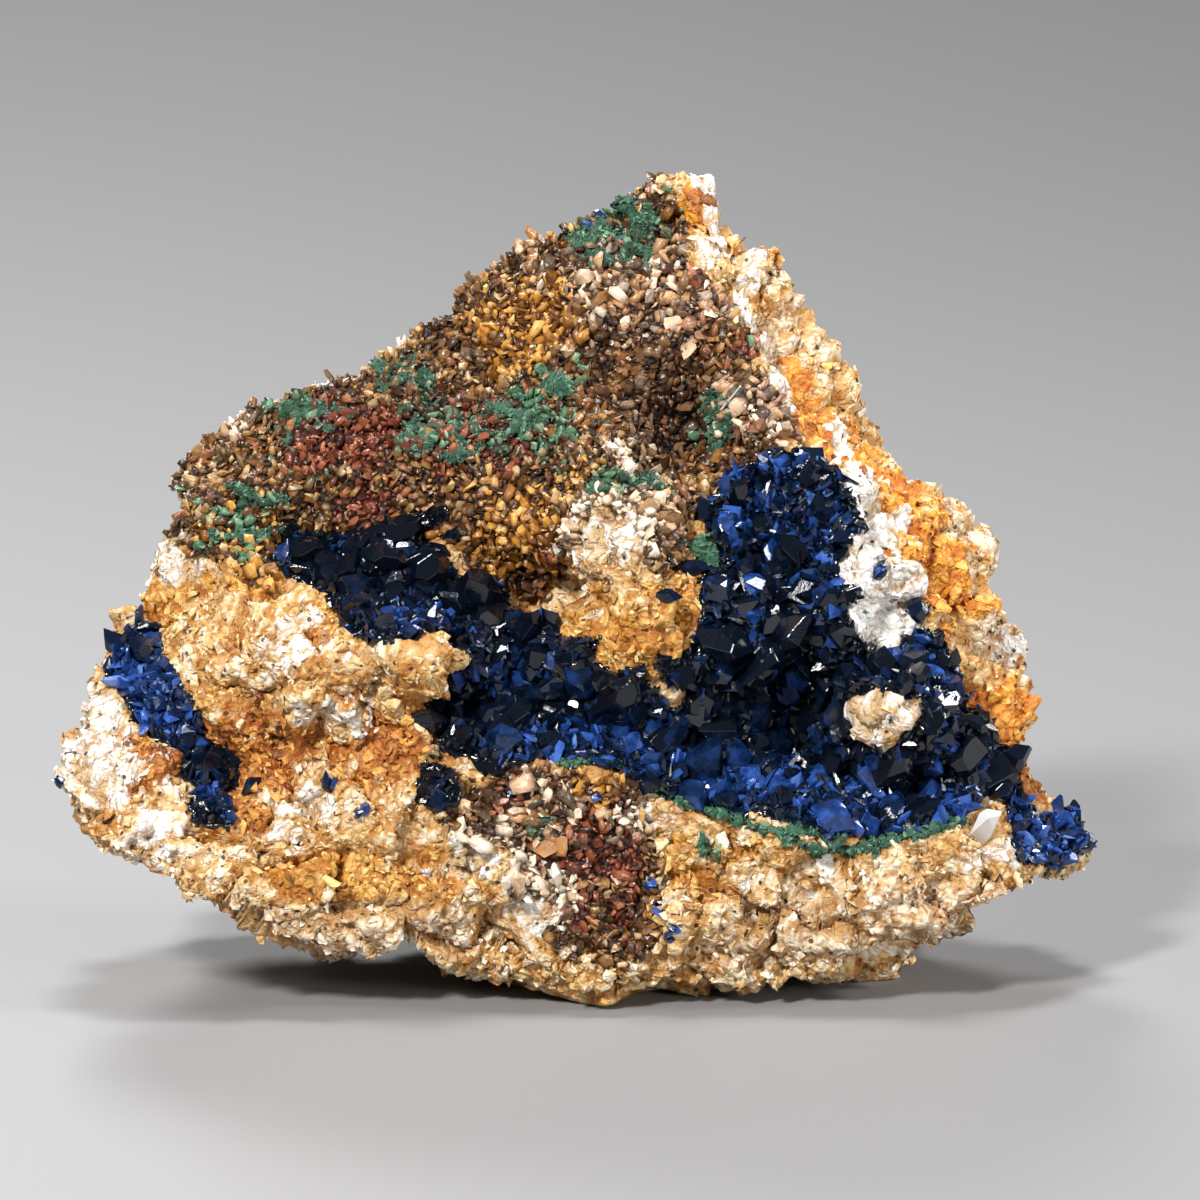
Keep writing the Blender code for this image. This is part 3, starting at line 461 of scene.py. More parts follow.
def stone_colour_group():
    """The stone's colour and height from the stains that its points carry.

    Tone is a grain's own shade, Kind picks its colour and Rise is how far a place is from its root.
    A low Rise gets painted shade: at roots, in creases and between the lining's crystals.
    """
    tree = bpy.data.node_groups.new("stone_colour", "ShaderNodeTree")
    for name in ("Tone", "Kind", "Rise"):
        tree.interface.new_socket(name, in_out="INPUT", socket_type="NodeSocketFloat")
    for name, kind in (("Color", "Color"), ("Height", "Float")):
        tree.interface.new_socket(name, in_out="OUTPUT", socket_type=f"NodeSocket{kind}")
    given = tree.nodes.new("NodeGroupInput").outputs
    places = tree.nodes.new("ShaderNodeTexCoord").outputs["Object"]
    broad, fine = speckle(tree, places, 4.0, 3, 0.7), speckle(tree, places, 0.9, 3, 0.7)
    sugar = speckle(tree, places, 0.32, 2, 0.7)
    ragged = sums(tree, "SUBTRACT", weighted(tree, (fine, 0.7), (given["Tone"], 0.55)), 0.62)
    masks = {}
    for vector, names in STAIN_VECTORS.items():
        parts = add(tree, "ShaderNodeSeparateXYZ", {0: read(tree, vector, 1)})
        for name, socket in zip(names, parts.outputs):
            masks[name] = step(tree, sums(tree, "ADD", socket, ragged), 0.32, 0.62)
    shade = weighted(tree, (fine, 0.45), (given["Tone"], 0.55))

    colour = ramp(tree, weighted(tree, (broad, 0.65), (shade, 0.40)), *ROCK_COLOURS["bare"])
    for name in ("tan", "ochre", "orange", "rust", "white"):
        colour = over(tree, masks[name], colour, ramp(tree, shade, *ROCK_COLOURS[name]))
    lining = ramp(tree, given["Kind"], *LINING_COLOURS["bare"])
    lining = over(tree, masks["pink"], lining, ramp(tree, given["Kind"], *LINING_COLOURS["pink"]))
    lining = vectors(tree, "SCALE", lining, step(tree, shade, 0.25, 0.72, 0.14, 1.12))
    # Brown, partly painted shade in the hollows, covers the lining at most three quarters.
    masks["brown"] = product(tree, masks["brown"], 0.75)
    for name in ("ochre", "red", "white", "brown"):
        lining = over(tree, masks[name], lining, ramp(tree, shade, *LINING_COLOURS[name]))
    colour = over(tree, masks["druse"], colour, lining)
    green = step(tree, sums(tree, "ADD", read(tree, "green"), ragged), 0.42, 0.62)
    colour = over(tree, green, colour, ramp(tree, shade, *GREEN_GRAINS))

    # Iron stain in some of the seams between the rock's grains, small dark pits, and painted shade where
    # Rise is low: at crystal roots, between the lining's crystals and in creases, there partly iron stain
    # too.
    broken = sums(tree, "SUBTRACT", 1.0, masks["druse"])
    bend = add(tree, "ShaderNodeTexNoise", {"Vector": places, "Scale": 1 / (1.2 * MM), "Detail": 2.0})
    bent = vectors(tree, "ADD", places, vectors(tree, "SCALE", bend.outputs[1], 0.9 * MM))
    cells = {"Vector": bent, "Scale": 1 / (1.15 * MM), "Randomness": 1.0}
    edge = add(tree, "ShaderNodeTexVoronoi", cells, feature="DISTANCE_TO_EDGE").outputs["Distance"]
    stained = step(tree, speckle(tree, places, 2.6, 3, 0.6), 0.42, 0.62)
    seam = product(tree, step(tree, edge, 0.13, 0.02), stained, broken, 0.65)
    colour = over(tree, seam, colour, SEAM_STAIN)
    cells = {"Vector": places, "Scale": 1 / (1.3 * MM), "Randomness": 1.0}
    holes = add(tree, "ShaderNodeTexVoronoi", cells, feature="F1").outputs
    chosen = add(tree, "ShaderNodeSeparateColor", {0: holes["Color"]}).outputs[0]
    pit = product(tree, step(tree, holes["Distance"], 0.22, 0.14), step(tree, chosen, 0.62, 0.66), broken)
    colour = over(tree, product(tree, pit, 0.9), colour, PIT_STAIN)
    # Painted shade, multiplied in where Rise is low: darker at crystal roots, in creases and between the
    # lining's crystals.
    painted_root_shade = vectors(tree, "MULTIPLY", colour, over(tree, masks["druse"], ROOT_STAIN_AND_PAINTED_SHADE, LINING_ROOT_PAINTED_SHADE))
    colour = over(tree, step(tree, given["Rise"], 0.28, 0.72, 0.9, 0.0), colour, painted_root_shade)
    high = weighted(tree, (sugar, 0.5), (fine, 0.8), (step(tree, edge, 0.0, 0.3), 0.5))
    add(tree, "NodeGroupOutput", {"Color": colour, "Height": sums(tree, "SUBTRACT", high, pit)})
    return tree


def new_material(name, rough, colour=(0.8, 0.8, 0.8)):
    """A new material, its nodes and its shader."""
    material = bpy.data.materials.new(name)
    material.use_nodes = True
    shader = material.node_tree.nodes["Principled BSDF"]
    shader.inputs["Base Color"].default_value = (*colour, 1)
    shader.inputs["Roughness"].default_value = rough
    return material, material.node_tree, shader


def bumps(tree, shader, strength, deep, height):
    """Roughens a shader's surface by a height, deep in mm."""
    made = add(tree, "ShaderNodeBump", {"Strength": strength, "Distance": deep * MM, "Height": height})
    tree.links.new(made.outputs[0], shader.inputs["Normal"])


def stone_material(name, rough, bump, own_tone):
    """Rock in the colours of its stains, painted shade in its creases; a loose crystal has its own tone,
    painted shade at its root.
    """
    material, tree, shader = new_material(name, rough)
    tone = kind = read(tree, "tone" if own_tone else "mottle")
    if own_tone:
        kind = add(tree, "ShaderNodeTexWhiteNoise", {"W": tone}, noise_dimensions="1D").outputs[0]
    sockets = {"Tone": tone, "Kind": kind, "Rise": read(tree, "rise")}
    colours = add(tree, "ShaderNodeGroup", sockets, node_tree=STONE_COLOUR).outputs
    tree.links.new(colours["Color"], shader.inputs["Base Color"])
    bumps(tree, shader, bump, 0.35, colours["Height"])
    return material


def finish_in(obj, material):
    obj.data.materials.clear()
    obj.data.materials.append(material)


def drop_crumbs(mesh, fewest=1000):
    """Takes away small loose parts that the redrawing left."""
    shape = bmesh.new()
    shape.from_mesh(mesh)
    seen, crumbs = set(), []
    for start in shape.verts:
        if start in seen:
            continue
        part, ahead = {start}, [start]
        while ahead:
            for edge in ahead.pop().link_edges:
                for vert in edge.verts:
                    if vert not in part:
                        part.add(vert)
                        ahead.append(vert)
        seen |= part
        if len(part) < fewest:
            crumbs += part
    bmesh.ops.delete(shape, geom=crumbs, context="VERTS")
    shape.to_mesh(mesh)
    shape.free()


def laid_stains(points, normals):
    """The stains at each point, as a dict of numbers from 0 to 1. Clean rock has neither stain nor painted
    shade in its creases.
    """
    u, v, _ = face_places(points)
    u, v = u + 2.6 * grain_of(points, 4.5, 1, 4), v + 2.6 * grain_of(points, 4.5, 2, 4)
    facing = soft_step(facing_of(normals), -0.35, 0.15)
    stains = {}
    for number, (name, ovals) in enumerate(STAINS.items()):
        on_front = np.max([in_oval(u, v, oval) for oval in ovals], axis=0)
        if name == "white":
            stains["clean"] = facing * soft_step(on_front, 1.3, 2.0)
        on_back = soft_step(grain_of(points, 9.0, 20 + number) + BACK_STAINS[name], 0.35, 0.9)
        broad = facing * on_front + (1 - facing) * on_back
        stains[name] = soft_step(broad + STAIN_EDGE * grain_of(points, 2.4, 40 + number, 5), 0.1, 0.9)
    stains["druse"] = facing * (inside(u, v, UPPER_DRUSE) | inside(u, v, LOWER_DRUSE))
    green = np.max([in_oval(u, v, oval) for oval in GREEN], axis=0)
    stains["green"] = facing * soft_step(green + 0.45 * grain_of(points, 1.8, 60, 5), 0.1, 0.9)
    return stains


def stone():
    """The stone: its CAD solid redrawn in a fine even mesh, then roughened. Also its gaps to the growths."""
    body = piece_from(merged("matrix_rock"), "stone_body")
    redraw = body.modifiers.new("fine_mesh", "REMESH")
    redraw.mode, redraw.voxel_size = "VOXEL", STONE_VOXEL * MM
    relax = body.modifiers.new("relax", "SMOOTH")
    relax.factor, relax.iterations = 0.5, SMOOTHINGS
    body = made_plain(body, "stone")
    mesh = body.data
    drop_crumbs(mesh)
    points, normals = places_of(mesh), normals_of(mesh)
    stains = laid_stains(points, normals)
    druse = stains["druse"]
    gaps = {name: gap_to(points, name) for name in frame["nodes"] if name != "matrix_rock"}
    azurite_gap = np.min([gaps[name] for name in AZURITE_NODES], axis=0)

    front = soft_step(facing_of(normals), -0.2, 0.3)
    u, v, _ = face_places(points)
    u, v = u + 1.2 * grain_of(points, 3.0, 16, 3), v + 1.2 * grain_of(points, 3.0, 17, 3)
    boss = front * np.sum([in_oval(u, v, oval) for oval in BOSSES], axis=0)
    swell, lumps, small_lumps = grain_of(points, 8.0, 5), lumps_of(points, 3.0, 6), lumps_of(points, 1.4, 7)
    bend = np.stack([grain_of(points, 2.5, seed, 2) for seed in (12, 13, 14)], axis=1)
    flakes = 1 - 2.2 * np.abs(grain_of(points + bend * 1.1 * MM, 2.0, 8, 3))
    large_blocks, large_cracks = blocks_of(points + bend * 0.8 * MM, 6.5, 10)
    blocks, cracks = blocks_of(points + bend * 0.5 * MM, 2.2, 11)
    height = druse * (0.9 * lumps + 0.9 * swell - 0.7)
    height += (1 - druse) * (
        SWELL * swell + LARGE_BLOCK * large_blocks + BLOCK * blocks + SMALL_LUMP * (small_lumps - 0.5)
        + FLAKE * flakes - CRACK * cracks - LARGE_CRACK * large_cracks
    )
    height = height * (soft_step(azurite_gap, 0.6, 2.0) * 0.7 + 0.3) + boss
    off_floor = soft_step(points[:, 2] / MM, 0.0, 1.5)
    moved = points + normals * (height * off_floor * MM)[:, None]
    moved[:, 2] = np.maximum(moved[:, 2], 0.0)
    move(mesh, moved)
    mesh.update()

    for vector, names in STAIN_VECTORS.items():
        store(mesh, vector, np.stack([stains[name] for name in names], axis=1))
    store(mesh, "green", stains["green"])
    # Creases, and the rock under the crystal lining, get a low rise: the material paints shade there, in the
    # creases partly iron stain too.
    creases = np.maximum(np.maximum(large_cracks**4, 0.8 * cracks**3), np.clip(0.25 - flakes, 0, 1))
    creases = creases * (1 - 0.2 * stains["white"]) * (1 - 0.7 * stains["clean"])
    store(mesh, "rise", np.clip((0.72 - 0.6 * creases) * (1 - 0.6 * druse), 0, 1))
    store(mesh, "mottle", np.clip(0.5 + 0.4 * grain_of(points, 1.1, 9), 0, 1))
    bare = (azurite_gap > 0.9) * soft_step(points[:, 2] / MM, 0.9, 2.2)
    store(mesh, "grows_druse", druse * bare)
    store(mesh, "grows_large", druse * bare * soft_step(stains["pink"], 0.3, 0.7))
    clusters = 0.12 + 0.88 * soft_step(grain_of(points, 3.5, 15), -0.25, 0.35)
    clusters = clusters * (1 - 0.85 * stains["white"]) * (1 - 0.6 * stains["tan"])
    clusters = np.maximum(clusters, stains["rust"])
    on_front = soft_step(front, 0.0, 0.3)
    store(mesh, "grows_sugar", (1 - druse) * bare * on_front * clusters)
    store(mesh, "grows_back", (1 - druse) * bare * (1 - on_front) * clusters)
    mesh.shade_smooth()
    return body, gaps


STONE_COLOUR = stone_colour_group()
stone_piece, growth_gaps = stone()
finish_in(stone_piece, stone_material("stained_rock", rough=0.55, bump=1.0, own_tone=False))

# ---- Crystal lining -----------------------------------------------------------------------------
# The upper face is lined with thousands of small stubby quartz crystals, about a millimetre each,
# stained brown, mauve, ochre and red. They grew on the stone, so each stands out from its surface.
# Painted shade darkens each crystal's root and the stone between the crystals.
LINING_CORNERS = 12


def hull_of(shape):
    """The outer hull of a bmesh's points."""
    hull = bmesh.ops.convex_hull(shape, input=shape.verts)
    inner = hull["geom_unused"] + hull["geom_interior"]
    loose = {part for part in inner if isinstance(part, bmesh.types.BMVert)}
    bmesh.ops.delete(shape, geom=list(loose), context="VERTS")
    return shape


def shape_collection(name, makers):
    """The shapes that a growth picks from, kept out of the scene. Each point knows its own place."""
    shapes = bpy.data.collections.new(name)
    for number, shape in enumerate(makers):
        mesh = bpy.data.meshes.new(f"{name}_{number}")
        shape.to_mesh(mesh)
        shape.free()
        heights = places_of(mesh)[:, 2]
        # Rise runs from a shape's foot to its top; the materials paint shade at its foot.
        store(mesh, "rise", np.clip((heights - heights.min()) / np.ptp(heights), 0, 1))
        store(mesh, "own_place", places_of(mesh))
        shapes.objects.link(bpy.data.objects.new(mesh.name, mesh))
    return shapes


def stubby_crystal(chance):
    """A blunt, angular crystal, one unit across and a bit longer, its root under its middle."""
    shape = bmesh.new()
    wide, long, soft = chance.uniform(0.38, 0.85), chance.uniform(1.0, 1.9), chance.random() < 0.25
    for _ in range(LINING_CORNERS):
        way = Vector([chance.gauss(0, 1) for _ in range(3)]).normalized()
        squared = max(abs(way.x), abs(way.y), abs(way.z))
        way *= 0.5 / (0.45 + 0.55 * squared)
        shape.verts.new((way.x, way.y * wide, (way.z + 0.02) * long))
    hull_of(shape)
    for face in shape.faces:
        face.smooth = soft
    return shape


def growth_tree():
    """Shapes that grow from a surface: scattered evenly, standing out from it and tilted anyhow."""
    tree = bpy.data.node_groups.new("grown_on_surface", "GeometryNodeTree")
    tree.interface.new_socket("Geometry", in_out="OUTPUT", socket_type="NodeSocketGeometry")
    for name, kind in (
        ("Geometry", "Geometry"), ("Shapes", "Collection"), ("Where", "String"), ("Spacing", "Float"),
        ("Most", "Float"), ("Smallest", "Float"), ("Largest", "Float"), ("Tilt", "Float"),
        ("Squash", "Float"), ("Seed", "Int"), ("Material", "Material"),
    ):
        tree.interface.new_socket(name, in_out="INPUT", socket_type=f"NodeSocket{kind}")
    given = tree.nodes.new("NodeGroupInput").outputs
    where = add(tree, "GeometryNodeInputNamedAttribute", {"Name": given["Where"]}, data_type="FLOAT")
    spread = add(
        tree, "GeometryNodeDistributePointsOnFaces",
        {
            "Mesh": given["Geometry"], "Distance Min": given["Spacing"], "Density Max": given["Most"],
            "Density Factor": where.outputs[0], "Seed": given["Seed"],
        },
        distribute_method="POISSON",
    ).outputs

    def triple(x, y, z):
        return add(tree, "ShaderNodeCombineXYZ", {0: x, 1: y, 2: z}).outputs[0]

    def chance(low, high, seed, kind="FLOAT"):
        """A random number or vector for each shape, from low to high."""
        first, result = (0, 0) if kind == "FLOAT_VECTOR" else (2, 1)
        sockets = {first: low, first + 1: high, "Seed": sums(tree, "ADD", given["Seed"], float(seed))}
        return add(tree, "FunctionNodeRandomValue", sockets, data_type=kind).outputs[result]

    upright = add(tree, "FunctionNodeAlignRotationToVector", {"Vector": spread["Normal"]}, axis="Z")
    most = triple(given["Tilt"], given["Tilt"], math.pi)
    turn = add(
        tree, "FunctionNodeEulerToRotation",
        {0: chance(vectors(tree, "SCALE", most, -1.0), most, 1, "FLOAT_VECTOR")},
    )
    turned = add(
        tree, "FunctionNodeRotateRotation", {0: upright.outputs[0], 1: turn.outputs[0]},
        rotation_space="LOCAL",
    )
    share = sums(tree, "POWER", chance(0.0, 1.0, 2), 1.7)
    size = add(
        tree, "ShaderNodeMapRange",
        {"Value": share, "To Min": given["Smallest"], "To Max": given["Largest"]},
    )
    low, high = (sums(tree, way, 1.0, given["Squash"]) for way in ("SUBTRACT", "ADD"))
    uneven = chance(triple(low, low, low), triple(high, high, high), 3, "FLOAT_VECTOR")
    shapes = add(
        tree, "GeometryNodeCollectionInfo",
        {"Collection": given["Shapes"], "Separate Children": True, "Reset Children": True},
    )
    grown = add(
        tree, "GeometryNodeInstanceOnPoints",
        {
            "Points": spread["Points"], "Instance": shapes.outputs[0], "Pick Instance": True,
            "Rotation": turned.outputs[0], "Scale": vectors(tree, "SCALE", uneven, size.outputs[0]),
        },
    )
    toned = add(
        tree, "GeometryNodeStoreNamedAttribute",
        {"Geometry": grown.outputs[0], "Name": "tone", "Value": chance(0.0, 1.0, 4)},
        data_type="FLOAT", domain="INSTANCE",
    )
    real = add(tree, "GeometryNodeRealizeInstances", {0: toned.outputs[0]})
    finish = {"Geometry": real.outputs[0], "Material": given["Material"]}
    add(tree, "NodeGroupOutput", {0: add(tree, "GeometryNodeSetMaterial", finish).outputs[0]})
    return tree


GROWTH = growth_tree()


def grown(name, base, shapes, material, where, sizes, spacing, tilt, seed, squash=0.2):
    """Shapes grown on a base piece where its attribute says, as one plain piece. Sizes are in mm."""
    host = bpy.data.objects.new(f"{name}_host", base.data)
    bpy.context.scene.collection.objects.link(host)
    growth = host.modifiers.new("growth", "NODES")
    growth.node_group = GROWTH
    settings = {
        "Shapes": shapes, "Where": where, "Spacing": spacing * MM, "Most": 4.0 / (spacing * MM) ** 2,
        "Smallest": sizes[0] * MM, "Largest": sizes[1] * MM, "Tilt": math.radians(tilt),
        "Squash": squash, "Seed": seed, "Material": material,
    }
    for socket in GROWTH.interface.items_tree:
        if socket.name in settings:
            growth[socket.identifier] = settings[socket.name]
    return made_plain(host, name)


chance = random.Random(11)
stubby = shape_collection("lining_crystals", [stubby_crystal(chance) for _ in range(10)])
lining_finish = stone_material("stained_crystals", rough=0.3, bump=0.25, own_tone=True)
lining = grown(
    "crystal_lining", stone_piece, stubby, lining_finish, "grows_druse",
    sizes=(0.6, 1.7), spacing=0.50, tilt=60, seed=1, squash=0.3,
)
large_lining = grown(
    "large_lining_crystals", stone_piece, stubby, lining_finish, "grows_large",
    sizes=(1.4, 2.8), spacing=1.6, tilt=55, seed=2, squash=0.3,
)
for piece in (lining, large_lining):
    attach(piece, "root")

# ---- Sugary breaks ------------------------------------------------------------------------------
# The broken faces are sugary: small angular grains, half sunk in the rock and in its own colours,
# with iron stain in the seams between them.
# Painted shade darkens each grain's root.
CHIP_CORNERS = 8


def chip(chance):
    """An angular grain, one unit across, half sunk in the stone."""
    shape = bmesh.new()
    for _ in range(CHIP_CORNERS):
        way = Vector([chance.gauss(0, 1) for _ in range(3)]).normalized()
        shape.verts.new((way.x * 0.5, way.y * chance.uniform(0.25, 0.45), way.z * 0.25 - 0.03))
    return hull_of(shape)


chips = shape_collection("sugar_grains", [chip(chance) for _ in range(14)])
sugar_finish = stone_material("sugary_rock", rough=0.40, bump=0.8, own_tone=True)
sugar = grown(
    "sugary_face", stone_piece, chips, sugar_finish, "grows_sugar",
    sizes=(0.6, 2.4), spacing=0.58, tilt=38, seed=3, squash=0.4,
)
sugar_back = grown(
    "sugary_back", stone_piece, chips, sugar_finish, "grows_back",
    sizes=(0.8, 2.8), spacing=0.80, tilt=38, seed=6, squash=0.4,
)
for piece in (sugar, sugar_back):
    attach(piece, "root")

# ---- Azurite ------------------------------------------------------------------------------------
# Azurite fills the groove across the face: a sheet of small bright blue crystals on the rock, and
# large, nearly black, glassy ones that stand out of it. The pockets on the left are the same growth.
# The large crystals: (u, v, width, breadth, length, axis (u, v, outwards), roll).
LARGE_CRYSTALS = [
    (-21.2, 46.2, 3.2, 2.6, 8.1, (0.86, 0.34, 0.35), 10), (-28.0, 45.0, 3.7, 2.8, 5.0, (-0.2, 0.3, 1.0), 20),
    (-24.0, 43.3, 4.1, 3.0, 5.2, (0.2, 0.1, 1.0), 70), (-19.8, 43.7, 4.8, 3.2, 5.8, (0.1, 0.4, 1.0), -20),
    (-15.7, 42.7, 5.0, 3.7, 6.0, (0.3, 0.3, 1.0), 30), (-22.3, 39.5, 3.7, 2.8, 5.0, (-0.1, -0.1, 1.0), 45),
    (-10.2, 39.0, 5.0, 3.9, 8.1, (-0.1, 0.75, 0.8), 5), (-5.5, 35.5, 3.5, 2.6, 7.5, (0.2, 0.7, 0.8), 60),
    (-1.5, 33.2, 3.2, 2.4, 6.9, (0.6, 0.5, 0.7), -30), (-2.7, 31.2, 3.9, 2.8, 6.2, (0.7, 0.3, 0.8), 15),
    (-6.5, 27.8, 4.8, 3.9, 5.5, (0.0, 0.2, 1.0), 40), (-3.0, 25.6, 3.2, 2.6, 4.8, (0.2, -0.2, 1.0), 0),
    (5.0, 28.8, 5.2, 4.1, 7.5, (0.0, 0.6, 0.9), 25), (-14.8, 27.0, 3.2, 2.8, 4.5, (-0.3, 0.2, 1.0), 15),
    (9.0, 25.4, 3.9, 3.2, 4.8, (0.0, 0.1, 1.0), 50), (15.0, 25.8, 3.9, 3.2, 5.2, (0.1, 0.2, 1.0), 0),
    (13.5, 28.7, 3.7, 3.0, 5.8, (-0.2, 0.3, 1.0), 30), (12.0, 32.5, 2.8, 1.9, 6.2, (-0.8, 0.2, 0.7), 80),
    (15.8, 35.3, 5.4, 4.1, 6.5, (-0.1, 0.2, 1.0), -15), (19.6, 34.8, 5.0, 2.6, 6.8, (0.1, -0.3, 1.0), 35),
    (22.2, 36.5, 4.1, 3.5, 5.8, (0.3, 0.1, 1.0), 55), (23.6, 40.2, 3.7, 3.2, 5.5, (0.2, 0.4, 1.0), 10),
    (18.0, 49.8, 2.8, 2.2, 6.2, (-0.3, 0.6, 0.8), 60), (22.7, 45.0, 3.7, 2.8, 5.2, (0.1, 0.2, 1.0), -40),
    (26.6, 40.0, 3.5, 2.8, 5.0, (0.4, 0.2, 1.0), 20), (22.5, 28.0, 3.2, 1.9, 8.1, (-0.3, 0.6, 0.8), 0),
    (26.0, 27.5, 3.0, 1.8, 8.1, (0.3, 0.7, 0.8), 30), (26.8, 23.2, 4.3, 3.2, 5.8, (0.1, 0.2, 1.0), 65),
    (34.8, 31.4, 3.5, 2.4, 5.5, (0.5, 0.4, 0.9), 45), (38.2, 29.0, 3.7, 2.8, 5.2, (0.2, 0.3, 1.0), 25),
    (41.4, 26.3, 3.3, 2.6, 4.6, (0.1, 0.3, 1.0), -15), (40.2, 23.0, 5.0, 3.9, 6.2, (0.0, 0.4, 1.0), 10),
    (44.0, 21.2, 5.2, 4.0, 5.6, (0.1, 0.3, 1.0), 30), (49.0, 15.6, 2.8, 2.2, 3.6, (0.1, 0.3, 1.0), 60),
    (-38.6, 22.2, 4.6, 3.6, 3.8, (0.0, 0.15, 1.0), 15),
]
# Colours from the depth of a thick crystal to a thin bright one.
AZURITE_BLUES = [
    (0.16, (0.0022, 0.0042, 0.009)), (0.38, (0.0032, 0.010, 0.030)), (0.60, (0.008, 0.031, 0.13)),
    (0.84, (0.034, 0.105, 0.42)), (1.0, (0.11, 0.22, 0.56)),
]
# Where the azurite is bright blue, as ovals like the stains.
BRIGHT_AZURITE = [
    (-45, 32, 4, 6, 30, 1.5), (-41, 27, 3, 3, 0, 1.3), (22, 50, 7, 6, 0, 1.0), (20, 41, 4, 4, 0, 0.6),
    (27, 45, 3, 6, 0, 0.8), (-1, 25, 8, 2, 0, 1.05), (8, 23, 7, 2.5, -15, 1.05), (18, 21, 7, 3, -10, 1.05),
    (29, 18, 8, 3, 0, 1.1), (39, 18, 5, 3, 10, 1.05), (50, 15, 5, 4, 0, 1.35), (-17, 38, 5, 2, 0, 0.7),
    (-3, 36, 4, 5, 30, 0.6), (-10, 33, 4, 3, 0, 0.7), (36, 33, 3, 5, 30, 0.6), (-38, 19, 4, 2, 0, 0.7),
]
BRIGHTEST = 1.6
LARGE_BRIGHT = 0.55  # how bright the large crystals are beside the small ones at the same place


def cut_crystal(planes):
    """The solid that planes leave, each (direction, distance from the middle), as whole flat faces."""
    ways = np.array([Vector(way).normalized() for way, _ in planes])
    reach = np.array([distance for _, distance in planes])
    corners = []
    for three in itertools.combinations(range(len(planes)), 3):
        matrix = ways[list(three)]
        if abs(np.linalg.det(matrix)) > 1e-3:
            corner = np.linalg.solve(matrix, reach[list(three)])
            if (ways @ corner <= reach + 1e-6).all():
                corners.append(corner)
    shape = bmesh.new()
    for corner in corners:
        shape.verts.new(corner)
    bmesh.ops.remove_doubles(shape, verts=shape.verts, dist=1e-4)
    bmesh.ops.convex_hull(shape, input=shape.verts)
    bmesh.ops.dissolve_limit(shape, angle_limit=math.radians(1), verts=shape.verts, edges=shape.edges)
    bmesh.ops.recalc_face_normals(shape, faces=shape.faces)
    return shape


def azurite_habit(chance, small=False):
    """A wedge-ended tablet or stub of azurite in a unit box, its root 0.3 under its middle."""
    edge = chance.uniform(35, 55)
    c, s = math.cos(math.radians(edge)), math.sin(math.radians(edge))
    planes = [((0, 0, -1), 0.3), ((0, 1, 0), 0.5), ((0, -1, 0), 0.5)]
    for side_u in (-1, 1):
        for side_v in (-1, 1):
            planes.append(((side_u * c, side_v * s, 0), 0.5 * chance.uniform(0.82, 1.0)))
    top = chance.uniform(-0.35, 0.35)
    planes.append(((top, chance.uniform(-0.2, 0.2), 1), chance.uniform(0.66, 0.78)))
    planes.append(((0.0, chance.uniform(0.7, 1.1), 0.8), chance.uniform(0.60, 0.72)))
    planes.append(((0.0, -chance.uniform(0.7, 1.1), 0.8), chance.uniform(0.60, 0.72)))
    planes.append(((chance.choice((-1, 1)) * chance.uniform(0.7, 1.2), 0.0, 0.7), chance.uniform(0.56, 0.70)))
    for _ in range(0 if small else 3):
        way = (chance.uniform(-1, 1), chance.uniform(-1, 1), chance.uniform(0.3, 0.9))
        planes.append((way, chance.uniform(0.56, 0.68)))
    return cut_crystal(planes)


def azurite_material(name, rough, zoned, uneven, blue):
    """Glassy azurite: nearly black in a thick crystal and electric blue in a thin one."""
    material, tree, shader = new_material(name, rough)
    shader.inputs["IOR"].default_value = 1.56
    places = tree.nodes.new("ShaderNodeTexCoord").outputs["Object"]
    own_place = read(tree, "own_place", 1)
    zones = add(tree, "ShaderNodeTexNoise", {"Vector": own_place, "Scale": 2.4, "Detail": 2.0}).outputs[0]
    cloud = weighted(tree, (speckle(tree, places, 1.6, 4, 0.6), 0.5), (zones, 0.5))
    own_tone = sums(tree, "POWER", read(tree, "tone"), 2.2)
    depth = weighted(tree, (read(tree, "bright"), blue), (own_tone, 0.62))
    depth = sums(tree, "ADD", depth, step(tree, cloud, 0.36, 0.64, -zoned, zoned), clamped=True)
    tree.links.new(ramp(tree, depth, *AZURITE_BLUES), shader.inputs["Base Color"])
    drawn_out = vectors(tree, "MULTIPLY", own_place, (16, 16, 1.4))
    lines = add(tree, "ShaderNodeTexNoise", {"Vector": drawn_out, "Scale": 1.0, "Detail": 2.0}).outputs[0]
    fine = speckle(tree, places, 0.3, 2, 0.6)
    bumps(tree, shader, uneven, 0.08, weighted(tree, (fine, 1.0), (lines, 0.5)))
    return material


def bright_at(points):
    """How bright a blue the azurite is at each point."""
    u, v, _ = face_places(points)
    return np.clip(np.max([in_oval(u, v, oval) for oval in BRIGHT_AZURITE], axis=0), 0, BRIGHTEST)


